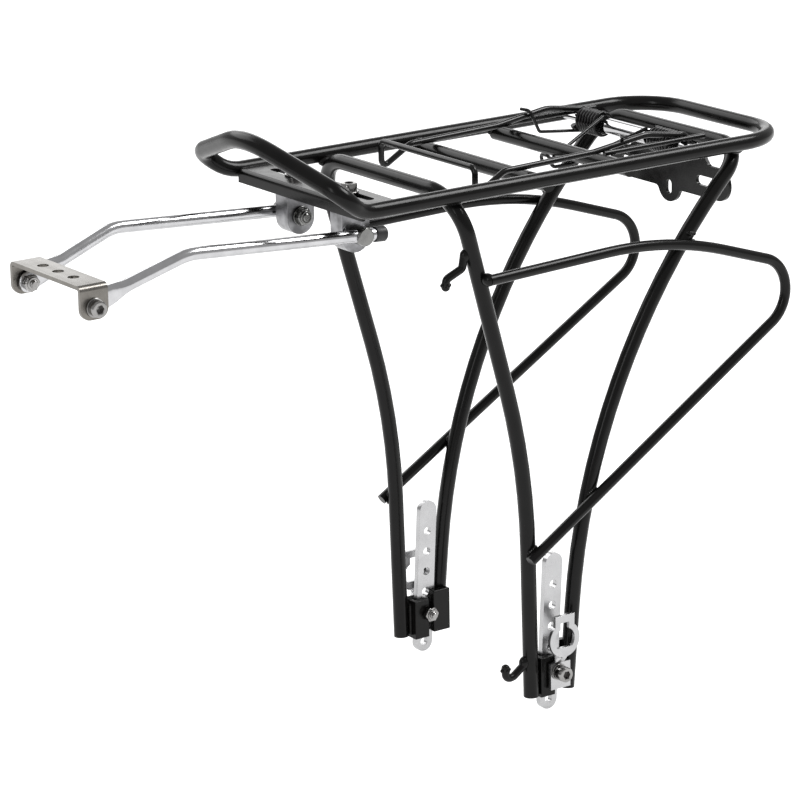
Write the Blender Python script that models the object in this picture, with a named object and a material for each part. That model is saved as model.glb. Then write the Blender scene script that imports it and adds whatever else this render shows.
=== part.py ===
"""Rear luggage rack for a bicycle, with a sprung clip, adjustable stays and adjustable feet.

Frame: +X to the bicycle's rear, +Y to its right, +Z up. The origin is under the middle of the
rack, level with the bottom of the two dropout strips. Units are metres.
"""

import math

import bpy
from mathutils import Matrix, Vector

# Platform loop: one bent tube
TUBE = 0.010
RAIL_HALF = 0.073
PLATFORM_Z = 0.3495
REAR_BAR_X = 0.255
REAR_CORNER_RADIUS = 0.038
HOOP_FOOT = (-0.083, RAIL_HALF, PLATFORM_Z)
HOOP_SHOULDER = (-0.100, 0.080, 0.363)
HOOP_CROWN = (-0.119, 0, 0.3895)
HOOP_RADII = (0.024, 0.0135, 0.060)
HOOP_TUBE = 0.0116
HOOP_SWELL_LENGTH = 0.020

# Leg tubes: each is one U, with its crossbar at the platform
FOOT_END_Z = 0.0125
FRONT_LEG = ((0.0421, 0.0715, FOOT_END_Z), (0.0389, 0.0724, 0.166), (-0.0129, 0.0748, 0.3490))
FRONT_LEG_RADII = (0.430, 0.028)
REAR_LEG = ((0.0708, 0.0715, FOOT_END_Z), (0.0895, 0.0710, 0.2187), (0.2170, 0.0705, 0.3460))
REAR_LEG_RADII = (0.417, 0.022)
RUNG_XS = {"rung_middle": 0.060, "rung_rear": 0.1244}
RUNG_Z = 0.345
RUNG_HALF = 0.0676

# Pannier hoops, welded on the outer side of the legs
PANNIER_TUBE = 0.007
PANNIER_ROUTE = ((0.004, 0.2955), (0.1468, 0.299), (0.2807, 0.2552), (0.035, 0.107))
PANNIER_RADII = (0.290, 0.024)
PANNIER_Y = 0.0832
PANNIER_TOE_IN = -0.021
PANNIER_LEAN = 0.0068

# Pump pegs on the left front leg
PEG = 0.0052
PEG_RADII = {"pump_peg_upper": (0.003, 0.0035), "pump_peg_lower": (0.004, 0.0035)}
PEG_ROUTES = {
    "pump_peg_upper": (
        (-0.0094, -0.0735, 0.3090),
        (-0.0100, -0.0735, 0.3035),
        (-0.0218, -0.0735, 0.2985),
        (-0.0223, -0.0735, 0.2925),
    ),
    "pump_peg_lower": (
        (0.0343, -0.0716, 0.0335),
        (0.0280, -0.0716, 0.0290),
        (0.0218, -0.0716, 0.0280),
        (0.0218, -0.0716, 0.0370),
    ),
}

# Stay mount plate between the rails, with a front flange
MOUNT_FRONT_X = -0.079
MOUNT_REAR_X = -0.051
MOUNT_HALF = 0.0675
MOUNT_TOP_Z = 0.351
MOUNT_THICK = 0.0025
MOUNT_FLANGE = 0.0085
SLOT_WIDTH = 0.0064
SLOT_LENGTH = 0.030
SLOT_Y = 0.039

# Stay brackets, their screws and the eye-bolts
BRACKET_X = -0.062
BRACKET_Y = 0.030
BRACKET_LENGTH = 0.020
BRACKET_WIDTH = 0.013
BRACKET_BOTTOM_Z = 0.3148
SCREW_SHANK = 0.005
SCREW_HEAD = 0.0098
SEAT_WASHER = 0.0118
SEAT_WASHER_THICK = 0.001
BRIDGE_BOLT_LENGTH = 0.0145
BRIDGE_NUT = 0.0108
BRIDGE_NUT_HEIGHT = 0.0046
CLAMP_WASHER = 0.0110
CLAMP_WASHER_THICK = 0.0036
CLAMP_BOLT_LENGTH = 0.0294
CLAMP_NUT = 0.0104
CLAMP_NUT_HEIGHT = 0.0045
EYE_Z = 0.3265
EYE_Y = 0.0424
EYE_DIAMETER = 0.0116
EYE_HALF = 0.0056
EYE_SHANK = 0.006

# Stays: bent rods with flattened ends
STAY_ROD = 0.008
STAY_REAR = (-0.0470, EYE_Y, 0.3255)
STAY_BEND = (-0.1870, EYE_Y, 0.3350)
STAY_TAB = (-0.2340, 0.0372, 0.3192)
STAY_BEND_RADIUS = 0.035
TAB_THICK = 0.0034
TAB_WIDTH = 0.013
TAB_NECK = ((0.014, 0.0062), (0.021, 0.0030))
STAY_TIP = (-0.2375, 0.0360, 0.3180)
TAB_Y = 0.0360
CAP_DIAMETER = 0.0098
CAP_LENGTH = 0.008
CAP_END = 0.0020
CAP_CHAMFER = 0.0010

# Bridge plate: a U of flat steel on the stays' front ends
BRIDGE_X = -0.2505
BRIDGE_WIDTH = 0.019
BRIDGE_HALF = 0.0405
BRIDGE_TOP_Z = 0.3267
BRIDGE_THICK = 0.0025
BRIDGE_BOLT_Z = 0.313
BRIDGE_HOLE = 0.007
BRIDGE_HOLE_PITCH = 0.0175
EAR_DROP = 0.0074
EAR_CORNER = 0.0068

# Feet: adjuster strip, guides, clamp plate with strap ring, bolt
CLAMP_X = 0.0581
CLAMP_Z = 0.0277
BOLT = 0.005
BOLT_HOLE = 0.0056
STRIP_Y = 0.0683
STRIP_THICK = 0.004
STRIP_WIDTH = 0.0135
STRIP_LENGTH = 0.1045
STRIP_HOLES = (-0.0211, 0, 0.014, 0.028, 0.042, 0.056)
STRIP_FOOT = 0.0277
STRIP_LEAN = math.radians(3.3)
CHANNEL_Z = (0.0110, 0.0375)
CHANNEL_X = (0.0474, 0.0585)
CHANNEL_Y = (0.0620, 0.0755)
CHANNEL_SLOT_X = 0.0500
CHANNEL_SLOT_Y = (0.0659, 0.0707)
BACKING_X = (0.0617, 0.0750)
BACKING_Z = (0.0135, 0.0425)
BACKING_Y = (0.0610, 0.0659)
CLAMP_PLATE_Y = 0.0781
CLAMP_PLATE_THICK = 0.0024
CLAMP_SQUARE = (0.0522, 0.0678, 0.0160, 0.0335)
NECK_X = 0.0590
NECK_WIDTH = 0.0070
RING_Y = 0.0822
RING_X = 0.0605
RING_Z = 0.0500
RING_RADIUS = 0.0118
RING_HOLE_RADIUS = 0.0078
RING_TOP_Z = 0.0665
RING_NOTCH_Z = 0.0615
RING_NOTCH_HALF = 0.0034
RING_FLAT = 0.0052

# Sprung clip: a bent wire on an axle, with a strut beside each arm
AXLE_X = 0.180
AXLE = 0.005
SLEEVE = 0.0105
SLEEVE_HALF = 0.0205
CLIP_WIRE = 0.004
CLIP_EYE_RADIUS = 0.0068
CLIP_EYE_Y = 0.0517
CLIP_ARM = (
    (0.1520, 0.0516, 0.3602),
    (0.1100, 0.0505, 0.3545),
    (0.0410, 0.0500, 0.3528),
    (0.0183, 0.0500, 0.3400),
    (0.0183, 0.0500, 0.3579),
    (0.0183, 0, 0.3579),
)
CLIP_BENDS = (0.030, 0.040, 0.010, 0.0034, 0.004)
STRUT = 0.0034
STRUT_ENDS = ((0.1160, 0.0546, 0.3536), (0.1960, 0.0562, 0.3541))

# Double torsion spring: two coils round the axle and a fixed loop under the rear rung
SPRING_WIRE = 0.0022
SPRING_RADIUS = 0.0073
SPRING_TURNS = 7.5
SPRING_STEPS = 10
SPRING_INNER_Y = 0.0262
SPRING_OUTER_Y = 0.0480
SPRING_LEG = ((0.1429, 0.0474, 0.3465), (0.1350, 0.0472, 0.3618), (0.1335, 0.0550, 0.3618))
SPRING_LEG_RADII = (0.003, 0.003)
SPRING_LOOP = (
    (0.1765, 0.0228, 0.3560),
    (0.1244, 0.0100, 0.3378),
    (0.1130, 0.0050, 0.3365),
    (0.1110, 0.0045, 0.3440),
    (0.1110, 0, 0.3440),
)
SPRING_LOOP_RADII = (0.010, 0.003, 0.003)
SPRING_LOOP_WIRE = 0.0024

# Light bracket behind the rear legs
LIGHT_PLATE_X = 0.2143
LIGHT_PLATE_THICK = 0.0025
LIGHT_PLATE_Z = 0.31795
LIGHT_PLATE_HALF = 0.061
LIGHT_PLATE_WIDTH = 0.0214
LIGHT_RISE = 0.0224
LIGHT_RISE_HALF = (0.030, 0.040)
LIGHT_SLOT = (0.022, 0.0065)
LIGHT_SLOT_Y = 0.0390
LOBE_Z = -0.0090
LOBE_RADIUS = 0.0110
LOBE_FILLET = 0.004
REFLECTOR_SLOT = (0.0098, 0.006)
REFLECTOR_SLOT_Z = -0.0101

SIDES = (("left", -1), ("right", 1))
GAP = 0.0003


def clear_scene():
    for obj in list(bpy.data.objects):
        bpy.data.objects.remove(obj)


def material(name, colour, metallic, roughness):
    made = bpy.data.materials.new(name)
    made.use_nodes = True
    shader = made.node_tree.nodes["Principled BSDF"]
    shader.inputs["Base Color"].default_value = (*colour, 1)
    shader.inputs["Metallic"].default_value = metallic
    shader.inputs["Roughness"].default_value = roughness
    return made


def place(obj, finish):
    bpy.context.scene.collection.objects.link(obj)
    obj.data.materials.append(finish)
    return obj


def mirrored(point, side):
    return Vector((point[0], point[1] * side, point[2]))


def filleted(points, radii, step=math.radians(9)):
    """The points with an arc of the given radius at each inner one."""
    points = [Vector(point) for point in points]
    route = [points[0]]
    for before, corner, after, radius in zip(points, points[1:], points[2:], radii):
        into = (before - corner).normalized()
        out = (after - corner).normalized()
        half = into.angle(out) / 2
        tangent = radius / math.tan(half)
        centre = corner + (into + out).normalized() * radius / math.sin(half)
        start = corner + into * tangent - centre
        end = corner + out * tangent - centre
        turn = start.angle(end)
        count = max(2, round(turn / step))
        for i in range(count + 1):
            part = i / count
            weights = math.sin((1 - part) * turn), math.sin(part * turn)
            route.append(centre + (start * weights[0] + end * weights[1]) / math.sin(turn))
    route.append(points[-1])
    return route


def tube(name, route, diameter, finish, closed=False, resolution=4, swell=None):
    """A round tube along a route, as a bevelled curve with filled ends. Swell scales its radius."""
    curve = bpy.data.curves.new(name, "CURVE")
    curve.dimensions = "3D"
    curve.bevel_depth = diameter / 2
    curve.bevel_resolution = resolution
    curve.use_fill_caps = not closed
    spline = curve.splines.new("POLY")
    spline.points.add(len(route) - 1)
    for spot, point in zip(spline.points, route):
        spot.co = (*point, 1)
        spot.radius = swell(point) if swell else 1
    spline.use_cyclic_u = closed
    spline.use_smooth = True
    return place(bpy.data.objects.new(name, curve), finish)


def arc(x, y, radius, start, end, count=8):
    """Points round a centre, from one angle in degrees to another."""
    angles = [math.radians(start + (end - start) * i / count) for i in range(count + 1)]
    return [(x + radius * math.cos(a), y + radius * math.sin(a)) for a in angles]


def circle(x, y, diameter, count=16):
    return arc(x, y, diameter / 2, 0, 360 * (1 - 1 / count), count - 1)


def slot(x, y, length, width):
    """A slot along the second axis, with round ends."""
    reach = (length - width) / 2
    return arc(x, y + reach, width / 2, 0, 180) + arc(x, y - reach, width / 2, 180, 360)


def plate(name, outlines, thickness, frame, finish=None):
    """A flat plate from an outline and its holes. Its middle plane is frame's XY plane."""
    curve = bpy.data.curves.new(name, "CURVE")
    curve.dimensions = "2D"
    curve.fill_mode = "BOTH"
    curve.extrude = thickness / 2
    for outline in outlines:
        spline = curve.splines.new("POLY")
        spline.points.add(len(outline) - 1)
        for spot, (x, y) in zip(spline.points, outline):
            spot.co = (x, y, 0, 1)
        spline.use_cyclic_u = True
    obj = bpy.data.objects.new(name, curve)
    bpy.context.scene.collection.objects.link(obj)
    bpy.context.view_layer.update()
    graph = bpy.context.evaluated_depsgraph_get()
    mesh = bpy.data.meshes.new_from_object(obj.evaluated_get(graph))
    bpy.data.objects.remove(obj)
    solid = bpy.data.objects.new(name, mesh)
    solid.matrix_world = frame
    add_weld(solid)
    bpy.context.scene.collection.objects.link(solid)
    if finish:
        solid.data.materials.append(finish)
    return solid


def add_weld(obj):
    weld = obj.modifiers.new("weld", "WELD")
    weld.merge_threshold = 0.000001


def across(y):
    """A frame in the rack's side plane at y: local X along +X, local Y along +Z."""
    return Matrix.Translation((0, y, 0)) @ Matrix.Rotation(math.radians(90), 4, "X")


def facing(x, z, side=1):
    """A frame in the rack's cross plane at x: local X to that side, local Y along +Z from z."""
    return Matrix(((0, 0, 1, x), (side, 0, 0, 0), (0, 1, 0, z), (0, 0, 0, 1)))


def boolean(obj, other, operation):
    cut = obj.modifiers.new(operation.lower(), "BOOLEAN")
    cut.operation = operation
    cut.object = other
    other.hide_render = True
    other.display_type = "WIRE"


def hexagonal(radius, angle):
    """The distance to a hexagon's side, whose corners are at radius."""
    turn = angle % math.radians(60) - math.radians(30)
    return radius * math.cos(math.radians(30)) / math.cos(turn)


def turned(name, profile, at, axis, finish=None, closed=False, count=18):
    """A turned body about axis through at. The profile's (radius, height) runs from its top, down
    its outer side. A negative radius is the corner radius of a hexagon."""
    vertices = []
    for radius, height in profile:
        for i in range(count):
            angle = 2 * math.pi * i / count
            reach = radius if radius >= 0 else hexagonal(-radius, angle)
            vertices.append((reach * math.cos(angle), reach * math.sin(angle), height))
    rings = len(profile)
    faces = []
    for ring in range(rings if closed else rings - 1):
        lower = (ring + 1) % rings
        for i in range(count):
            j = (i + 1) % count
            faces.append((ring * count + i, lower * count + i, lower * count + j, ring * count + j))
    if not closed:
        faces.append(tuple(range(count)))
        faces.append(tuple(reversed(range((rings - 1) * count, rings * count))))
    mesh = bpy.data.meshes.new(name)
    mesh.from_pydata(vertices, [], faces)
    mesh.shade_smooth()
    mesh.set_sharp_from_angle(angle=math.radians(35))
    obj = bpy.data.objects.new(name, mesh)
    turn = Vector((0, 0, 1)).rotation_difference(Vector(axis)).to_matrix().to_4x4()
    obj.matrix_world = Matrix.Translation(at) @ turn
    bpy.context.scene.collection.objects.link(obj)
    if finish:
        obj.data.materials.append(finish)
    return obj


def washer(name, at, axis, hole, diameter, thickness, finish):
    """A flat ring that stands on at and rises along axis."""
    profile = ((diameter / 2, thickness), (diameter / 2, 0), (hole / 2, 0), (hole / 2, thickness))
    return turned(name, profile, at, axis, finish, closed=True)


def nut(name, at, axis, hole, corners, height, finish):
    """A hexagonal nut that stands on at and rises along axis."""
    profile = ((-corners / 2, height), (-corners / 2, 0), (hole / 2, 0), (hole / 2, height))
    return turned(name, profile, at, axis, finish, closed=True)


def socket_screw(name, at, axis, shank, head, length, finish):
    """A socket-head screw. Its head stands on at, and its shank goes the other way."""
    height = shank
    profile = (
        (-0.30 * head, 0.45 * height),
        (-0.30 * head, height),
        (0.44 * head, height),
        (0.50 * head, 0.88 * height),
        (0.50 * head, 0),
        (shank / 2, 0),
        (shank / 2, 0.0006 - length),
        (shank / 2 - 0.0006, -length),
    )
    return turned(name, profile, at, axis, finish)


def box_outline(x0, x1, y0, y1):
    return [(x0, y0), (x1, y0), (x1, y1), (x0, y1)]


def hoop_swell(point):
    """The loop's tube widens from its shoulders into the front hoop."""
    part = min(1, max(0, (HOOP_FOOT[0] - point.x) / HOOP_SWELL_LENGTH))
    return 1 + (HOOP_TUBE / TUBE - 1) * part


def build_platform(paint):
    half = [(REAR_BAR_X, RAIL_HALF, PLATFORM_Z), HOOP_FOOT, HOOP_SHOULDER]
    middle = (REAR_BAR_X, 0, PLATFORM_Z)
    corners = [middle, *half, HOOP_CROWN, *[mirrored(p, -1) for p in reversed(half)], middle]
    foot, shoulder, crown = HOOP_RADII
    radii = (REAR_CORNER_RADIUS, foot, shoulder, crown, shoulder, foot, REAR_CORNER_RADIUS)
    route = filleted(corners, radii)[:-1]
    tube("platform_loop", route, TUBE, paint, closed=True, swell=hoop_swell)
    for name, x in RUNG_XS.items():
        tube(name, [(x, -RUNG_HALF, RUNG_Z), (x, RUNG_HALF, RUNG_Z)], TUBE, paint)


def build_legs(paint):
    for name, leg, (bend, corner) in (
        ("front_leg_tube", FRONT_LEG, FRONT_LEG_RADII),
        ("rear_leg_tube", REAR_LEG, REAR_LEG_RADII),
    ):
        points = [mirrored(p, -1) for p in leg] + [mirrored(p, 1) for p in reversed(leg)]
        route = filleted(points, (bend, corner, corner, bend), math.radians(6))
        tube(name, route, TUBE, paint)


def pannier_y(x, z):
    """The hoop's plane leans, so that it meets the outer side of both legs."""
    start_x, start_z = PANNIER_ROUTE[0]
    return PANNIER_Y + PANNIER_TOE_IN * (x - start_x) + PANNIER_LEAN * (z - start_z)


def build_pannier_hoops(paint):
    for word, side in SIDES:
        points = [(x, side * pannier_y(x, z), z) for x, z in PANNIER_ROUTE]
        tube(f"pannier_hoop_{word}", filleted(points, PANNIER_RADII), PANNIER_TUBE, paint, resolution=3)


def build_pump_pegs(paint):
    for name, route in PEG_ROUTES.items():
        tube(name, filleted(route, PEG_RADII[name]), PEG, paint, resolution=2)


def build_stay_mount(paint):
    middle_z = MOUNT_TOP_Z - MOUNT_THICK / 2
    outline = box_outline(MOUNT_FRONT_X, MOUNT_REAR_X, -MOUNT_HALF, MOUNT_HALF)
    slots = [slot(BRACKET_X, side * SLOT_Y, SLOT_LENGTH, SLOT_WIDTH) for _, side in SIDES]
    top = Matrix.Translation((0, 0, middle_z))
    mount = plate("stay_mount_plate", [outline, *slots], MOUNT_THICK, top, paint)
    flange_outline = box_outline(-MOUNT_HALF, MOUNT_HALF, MOUNT_TOP_Z - MOUNT_FLANGE, MOUNT_TOP_Z)
    front = facing(MOUNT_FRONT_X + MOUNT_THICK / 2, 0)
    flange = plate("mount_flange_shape", [flange_outline], MOUNT_THICK, front)
    boolean(mount, flange, "UNION")


def build_light_bracket(paint):
    half = LIGHT_PLATE_WIDTH / 2
    end = LIGHT_PLATE_HALF - half
    inner, outer = LIGHT_RISE_HALF
    fillet_z = -half - LOBE_FILLET
    meeting = math.asin((LOBE_Z - fillet_z) / (LOBE_RADIUS + LOBE_FILLET))
    reach = (LOBE_RADIUS + LOBE_FILLET) * math.cos(meeting)
    angle = math.degrees(meeting)
    outline = arc(end, 0, half, -90, 90)
    outline += [(outer, half), (inner, LIGHT_RISE), (-inner, LIGHT_RISE), (-outer, half)]
    outline += arc(-end, 0, half, 90, 270)
    outline += arc(-reach, fillet_z, LOBE_FILLET, 90, angle, 4)
    outline += arc(0, LOBE_Z, LOBE_RADIUS, 180 + angle, 360 - angle)
    outline += arc(reach, fillet_z, LOBE_FILLET, 180 - angle, 90, 4)
    holes = [slot(0, REFLECTOR_SLOT_Z, *REFLECTOR_SLOT)]
    for _, side in SIDES:
        holes.append([(side * LIGHT_SLOT_Y + y, x) for x, y in slot(0, 0, *LIGHT_SLOT)])
    rear = facing(LIGHT_PLATE_X, LIGHT_PLATE_Z)
    plate("light_bracket", [outline, *holes], LIGHT_PLATE_THICK, rear, paint)


def build_brackets(steel, screw_steel):
    top_z = MOUNT_TOP_Z - MOUNT_THICK - GAP
    round_z = BRACKET_BOTTOM_Z + BRACKET_LENGTH / 2
    half = BRACKET_LENGTH / 2
    outline = arc(BRACKET_X, round_z, half, 180, 360, 14) + [(BRACKET_X + half, top_z), (BRACKET_X - half, top_z)]
    eye_hole = circle(BRACKET_X, EYE_Z, EYE_SHANK + 0.0006)
    for word, side in SIDES:
        middle = side * BRACKET_Y
        block = plate(f"stay_bracket_{word}", [outline, eye_hole], BRACKET_WIDTH, across(middle), steel)
        bore = ((SCREW_SHANK / 2 + GAP, 0.004), (SCREW_SHANK / 2 + GAP, -0.0130))
        boolean(block, turned(f"screw_bore_{word}", bore, (BRACKET_X, middle, top_z), (0, 0, 1)), "DIFFERENCE")
        seat = (BRACKET_X, middle, MOUNT_TOP_Z + GAP)
        washer(f"bracket_washer_{word}", seat, (0, 0, 1), BOLT_HOLE, SEAT_WASHER, SEAT_WASHER_THICK, screw_steel)
        seat = (BRACKET_X, middle, MOUNT_TOP_Z + SEAT_WASHER_THICK + 2 * GAP)
        socket_screw(f"bracket_screw_{word}", seat, (0, 0, 1), SCREW_SHANK, SCREW_HEAD, 0.0155, screw_steel)


def stay_direction():
    return (Vector(STAY_BEND) - Vector(STAY_REAR)).normalized()


def build_eye_bolts(steel):
    inner = EYE_Y - EYE_HALF
    profile = (
        (EYE_DIAMETER / 2 - 0.0008, 2 * EYE_HALF),
        (EYE_DIAMETER / 2, 2 * EYE_HALF - 0.0008),
        (EYE_DIAMETER / 2, 0),
        (EYE_SHANK / 2, 0),
        (EYE_SHANK / 2, -0.0205),
    )
    for word, side in SIDES:
        head = turned(f"eye_bolt_{word}", profile, (BRACKET_X, side * inner, EYE_Z), (0, side, 0), steel)
        along = mirrored(stay_direction(), side)
        hole = ((STAY_ROD / 2 + GAP, 0.012), (STAY_ROD / 2 + GAP, -0.012))
        boolean(head, turned(f"eye_hole_{word}", hole, (BRACKET_X, side * EYE_Y, EYE_Z), along), "DIFFERENCE")
        face = side * (BRACKET_Y - BRACKET_WIDTH / 2 - GAP)
        inward = (0, -side, 0)
        washer(f"eye_washer_{word}", (BRACKET_X, face, EYE_Z), inward, 0.0066, 0.0125, 0.0012, steel)
        face -= side * (0.0012 + GAP)
        nut(f"eye_nut_{word}", (BRACKET_X, face, EYE_Z), inward, 0.0066, 0.0112, 0.0048, steel)


def build_stays(steel, rubber):
    for word, side in SIDES:
        route = filleted([mirrored(p, side) for p in (STAY_REAR, STAY_BEND, STAY_TAB)], (STAY_BEND_RADIUS,))
        route.append(mirrored(STAY_TIP, side))
        rod = tube(f"stay_{word}_rod", route, STAY_ROD, steel, resolution=3)
        graph = bpy.context.evaluated_depsgraph_get()
        mesh = bpy.data.meshes.new_from_object(rod.evaluated_get(graph))
        bpy.data.objects.remove(rod)
        stay = bpy.data.objects.new(f"stay_{word}", mesh)
        add_weld(stay)
        bpy.context.scene.collection.objects.link(stay)
        tilt = math.atan2(STAY_TAB[2] - BRIDGE_BOLT_Z, STAY_TAB[0] - BRIDGE_X)
        outline = arc(0, 0, TAB_WIDTH / 2, 90, 270, 12) + [(reach, -half) for reach, half in TAB_NECK]
        outline += reversed(TAB_NECK)
        hole = circle(0, 0, BOLT_HOLE)
        turn = Matrix.Rotation(-tilt, 4, "Y")
        frame = Matrix.Translation((BRIDGE_X, side * TAB_Y, BRIDGE_BOLT_Z)) @ turn @ across(0)
        tab = plate(f"stay_tab_{word}", [outline, hole], TAB_THICK, frame)
        boolean(stay, tab, "UNION")
        end = mirrored(STAY_REAR, side)
        along = -mirrored(stay_direction(), side)
        inside = STAY_ROD / 2 + GAP
        mouth = CAP_END - CAP_LENGTH
        profile = (
            (CAP_DIAMETER / 2 - CAP_CHAMFER, CAP_END),
            (CAP_DIAMETER / 2, CAP_END - CAP_CHAMFER),
            (CAP_DIAMETER / 2, mouth),
            (inside, mouth),
            (inside, GAP),
        )
        turned(f"stay_cap_{word}", profile, end, along, rubber)


def build_bridge(steel, screw_steel):
    half = BRIDGE_WIDTH / 2
    web = box_outline(BRIDGE_X - half, BRIDGE_X + half, -BRIDGE_HALF, BRIDGE_HALF)
    holes = [circle(BRIDGE_X, BRIDGE_HOLE_PITCH * i, BRIDGE_HOLE) for i in (-1, 0, 1)]
    level = Matrix.Translation((0, 0, BRIDGE_TOP_Z - BRIDGE_THICK / 2))
    bridge = plate("bridge_plate", [web, *holes], BRIDGE_THICK, level, steel)
    corner_z = BRIDGE_BOLT_Z - EAR_DROP + EAR_CORNER
    ear = arc(BRIDGE_X - half + EAR_CORNER, corner_z, EAR_CORNER, 180, 270, 6)
    ear += arc(BRIDGE_X + half - EAR_CORNER, corner_z, EAR_CORNER, 270, 360, 6)
    ear += [(BRIDGE_X + half, BRIDGE_TOP_Z), (BRIDGE_X - half, BRIDGE_TOP_Z)]
    ear_hole = circle(BRIDGE_X, BRIDGE_BOLT_Z, BOLT_HOLE)
    for word, side in SIDES:
        middle = side * (BRIDGE_HALF - BRIDGE_THICK / 2)
        boolean(bridge, plate(f"bridge_ear_{word}", [ear, ear_hole], BRIDGE_THICK, across(middle)), "UNION")
        outward = (0, side, 0)
        face = side * (BRIDGE_HALF + GAP)
        seat = (BRIDGE_X, face, BRIDGE_BOLT_Z)
        washer(f"bridge_washer_{word}", seat, outward, BOLT_HOLE, SEAT_WASHER, SEAT_WASHER_THICK, screw_steel)
        seat = (BRIDGE_X, side * (BRIDGE_HALF + SEAT_WASHER_THICK + 2 * GAP), BRIDGE_BOLT_Z)
        socket_screw(f"bridge_bolt_{word}", seat, outward, BOLT, SCREW_HEAD, BRIDGE_BOLT_LENGTH, screw_steel)
        inner = (BRIDGE_X, side * (TAB_Y - TAB_THICK / 2 - GAP), BRIDGE_BOLT_Z)
        nut(f"bridge_nut_{word}", inner, (0, -side, 0), BOLT_HOLE, BRIDGE_NUT, BRIDGE_NUT_HEIGHT, screw_steel)


def build_strips(steel):
    lean = Matrix.Rotation(STRIP_LEAN, 4, "Y")
    half = STRIP_WIDTH / 2
    low = half - STRIP_FOOT / math.cos(STRIP_LEAN)
    outline = arc(0, low, half, 180, 360, 12)
    outline += arc(0, low + STRIP_LENGTH - STRIP_WIDTH, half, 0, 180, 12)
    holes = [circle(0, reach, BOLT_HOLE) for reach in STRIP_HOLES]
    for word, side in SIDES:
        frame = Matrix.Translation((CLAMP_X, side * STRIP_Y, CLAMP_Z)) @ lean @ across(0)
        plate(f"dropout_strip_{word}", [outline, *holes], STRIP_THICK, frame, steel)


def build_foot_guides(paint):
    """A slotted channel behind the front leg takes the strip's front edge, and a plate inside the
    rear leg backs the strip."""
    front, back = CHANNEL_X
    inside, outside = CHANNEL_Y
    slot_inside, slot_outside = CHANNEL_SLOT_Y
    channel = [(front, inside), (back, inside), (back, slot_inside), (CHANNEL_SLOT_X, slot_inside)]
    channel += [(CHANNEL_SLOT_X, slot_outside), (back, slot_outside), (back, outside), (front, outside)]
    bore = ((BOLT_HOLE / 2, 0.012), (BOLT_HOLE / 2, -0.012))
    for word, side in SIDES:
        outline = [(x, side * y) for x, y in channel]
        level = Matrix.Translation((0, 0, sum(CHANNEL_Z) / 2))
        guide = plate(f"foot_channel_{word}", [outline], CHANNEL_Z[1] - CHANNEL_Z[0], level, paint)
        middle = (CLAMP_X, side * STRIP_Y, CLAMP_Z)
        boolean(guide, turned(f"channel_bore_{word}", bore, middle, (0, side, 0)), "DIFFERENCE")
        backing = box_outline(*BACKING_X, *BACKING_Z)
        thick = BACKING_Y[1] - BACKING_Y[0]
        plate(f"foot_plate_{word}", [backing], thick, across(side * sum(BACKING_Y) / 2), paint)


def ring_outline():
    """The strap ring: round below, and drawn out to a short straight edge at its top."""
    outline = arc(RING_X, RING_Z, RING_RADIUS, 130, 410, 20)
    return outline + [(RING_X + 0.0078, RING_TOP_Z), (RING_X - 0.0075, RING_TOP_Z)]


def ring_opening():
    """The keyhole for the strap's hook: a round hole, flat below, with a notch above."""
    low = math.degrees(math.asin(RING_FLAT / RING_HOLE_RADIUS))
    side = math.degrees(math.acos(RING_NOTCH_HALF / RING_HOLE_RADIUS))
    outline = arc(RING_X, RING_Z, RING_HOLE_RADIUS, 180 - side, 180 + low, 8)
    outline += arc(RING_X, RING_Z, RING_HOLE_RADIUS, 360 - low, 360 + side, 8)
    notch = [(RING_X + RING_NOTCH_HALF, RING_NOTCH_Z), (RING_X - RING_NOTCH_HALF, RING_NOTCH_Z)]
    return outline + notch


def neck_outline():
    """The joggled neck from the clamp plate out to the ring, seen along the rack."""
    inner = CLAMP_PLATE_Y - CLAMP_PLATE_THICK / 2 + GAP
    outer = CLAMP_PLATE_Y + CLAMP_PLATE_THICK / 2 - GAP
    ring_inner = RING_Y - CLAMP_PLATE_THICK / 2 + GAP
    ring_outer = RING_Y + CLAMP_PLATE_THICK / 2 - GAP
    low = RING_Z - RING_RADIUS
    foot = CLAMP_SQUARE[3]
    return [
        (inner, foot - 0.0025),
        (outer, foot - 0.0025),
        (outer, foot - 0.0003),
        (ring_outer, low + 0.0011),
        (ring_outer, low + 0.0032),
        (ring_inner, low + 0.0032),
        (ring_inner, low + 0.0020),
        (inner, foot + 0.0004),
    ]


def build_clamps(steel, screw_steel):
    square_outline = box_outline(*CLAMP_SQUARE)
    hole = circle(CLAMP_X, CLAMP_Z, BOLT_HOLE)
    for word, side in SIDES:
        flat = across(side * CLAMP_PLATE_Y)
        clamp = plate(f"clamp_plate_{word}", [square_outline, hole], CLAMP_PLATE_THICK, flat, steel)
        ring = plate(f"strap_ring_{word}", [ring_outline(), ring_opening()], CLAMP_PLATE_THICK, across(side * RING_Y))
        crosswise = facing(NECK_X, 0, side)
        boolean(clamp, plate(f"neck_{word}", [neck_outline()], NECK_WIDTH, crosswise), "UNION")
        boolean(clamp, ring, "UNION")
        outward = (0, side, 0)
        face = CLAMP_PLATE_Y + CLAMP_PLATE_THICK / 2 + GAP
        seat = (CLAMP_X, side * face, CLAMP_Z)
        washer(f"clamp_washer_{word}", seat, outward, BOLT_HOLE, CLAMP_WASHER, CLAMP_WASHER_THICK, screw_steel)
        seat = (CLAMP_X, side * (face + CLAMP_WASHER_THICK + GAP), CLAMP_Z)
        socket_screw(f"clamp_bolt_{word}", seat, outward, BOLT, SCREW_HEAD, CLAMP_BOLT_LENGTH, screw_steel)
        back = (CLAMP_X, side * (BACKING_Y[0] - GAP), CLAMP_Z)
        nut(f"clamp_nut_{word}", back, (0, -side, 0), BOLT_HOLE, CLAMP_NUT, CLAMP_NUT_HEIGHT, screw_steel)


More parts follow.
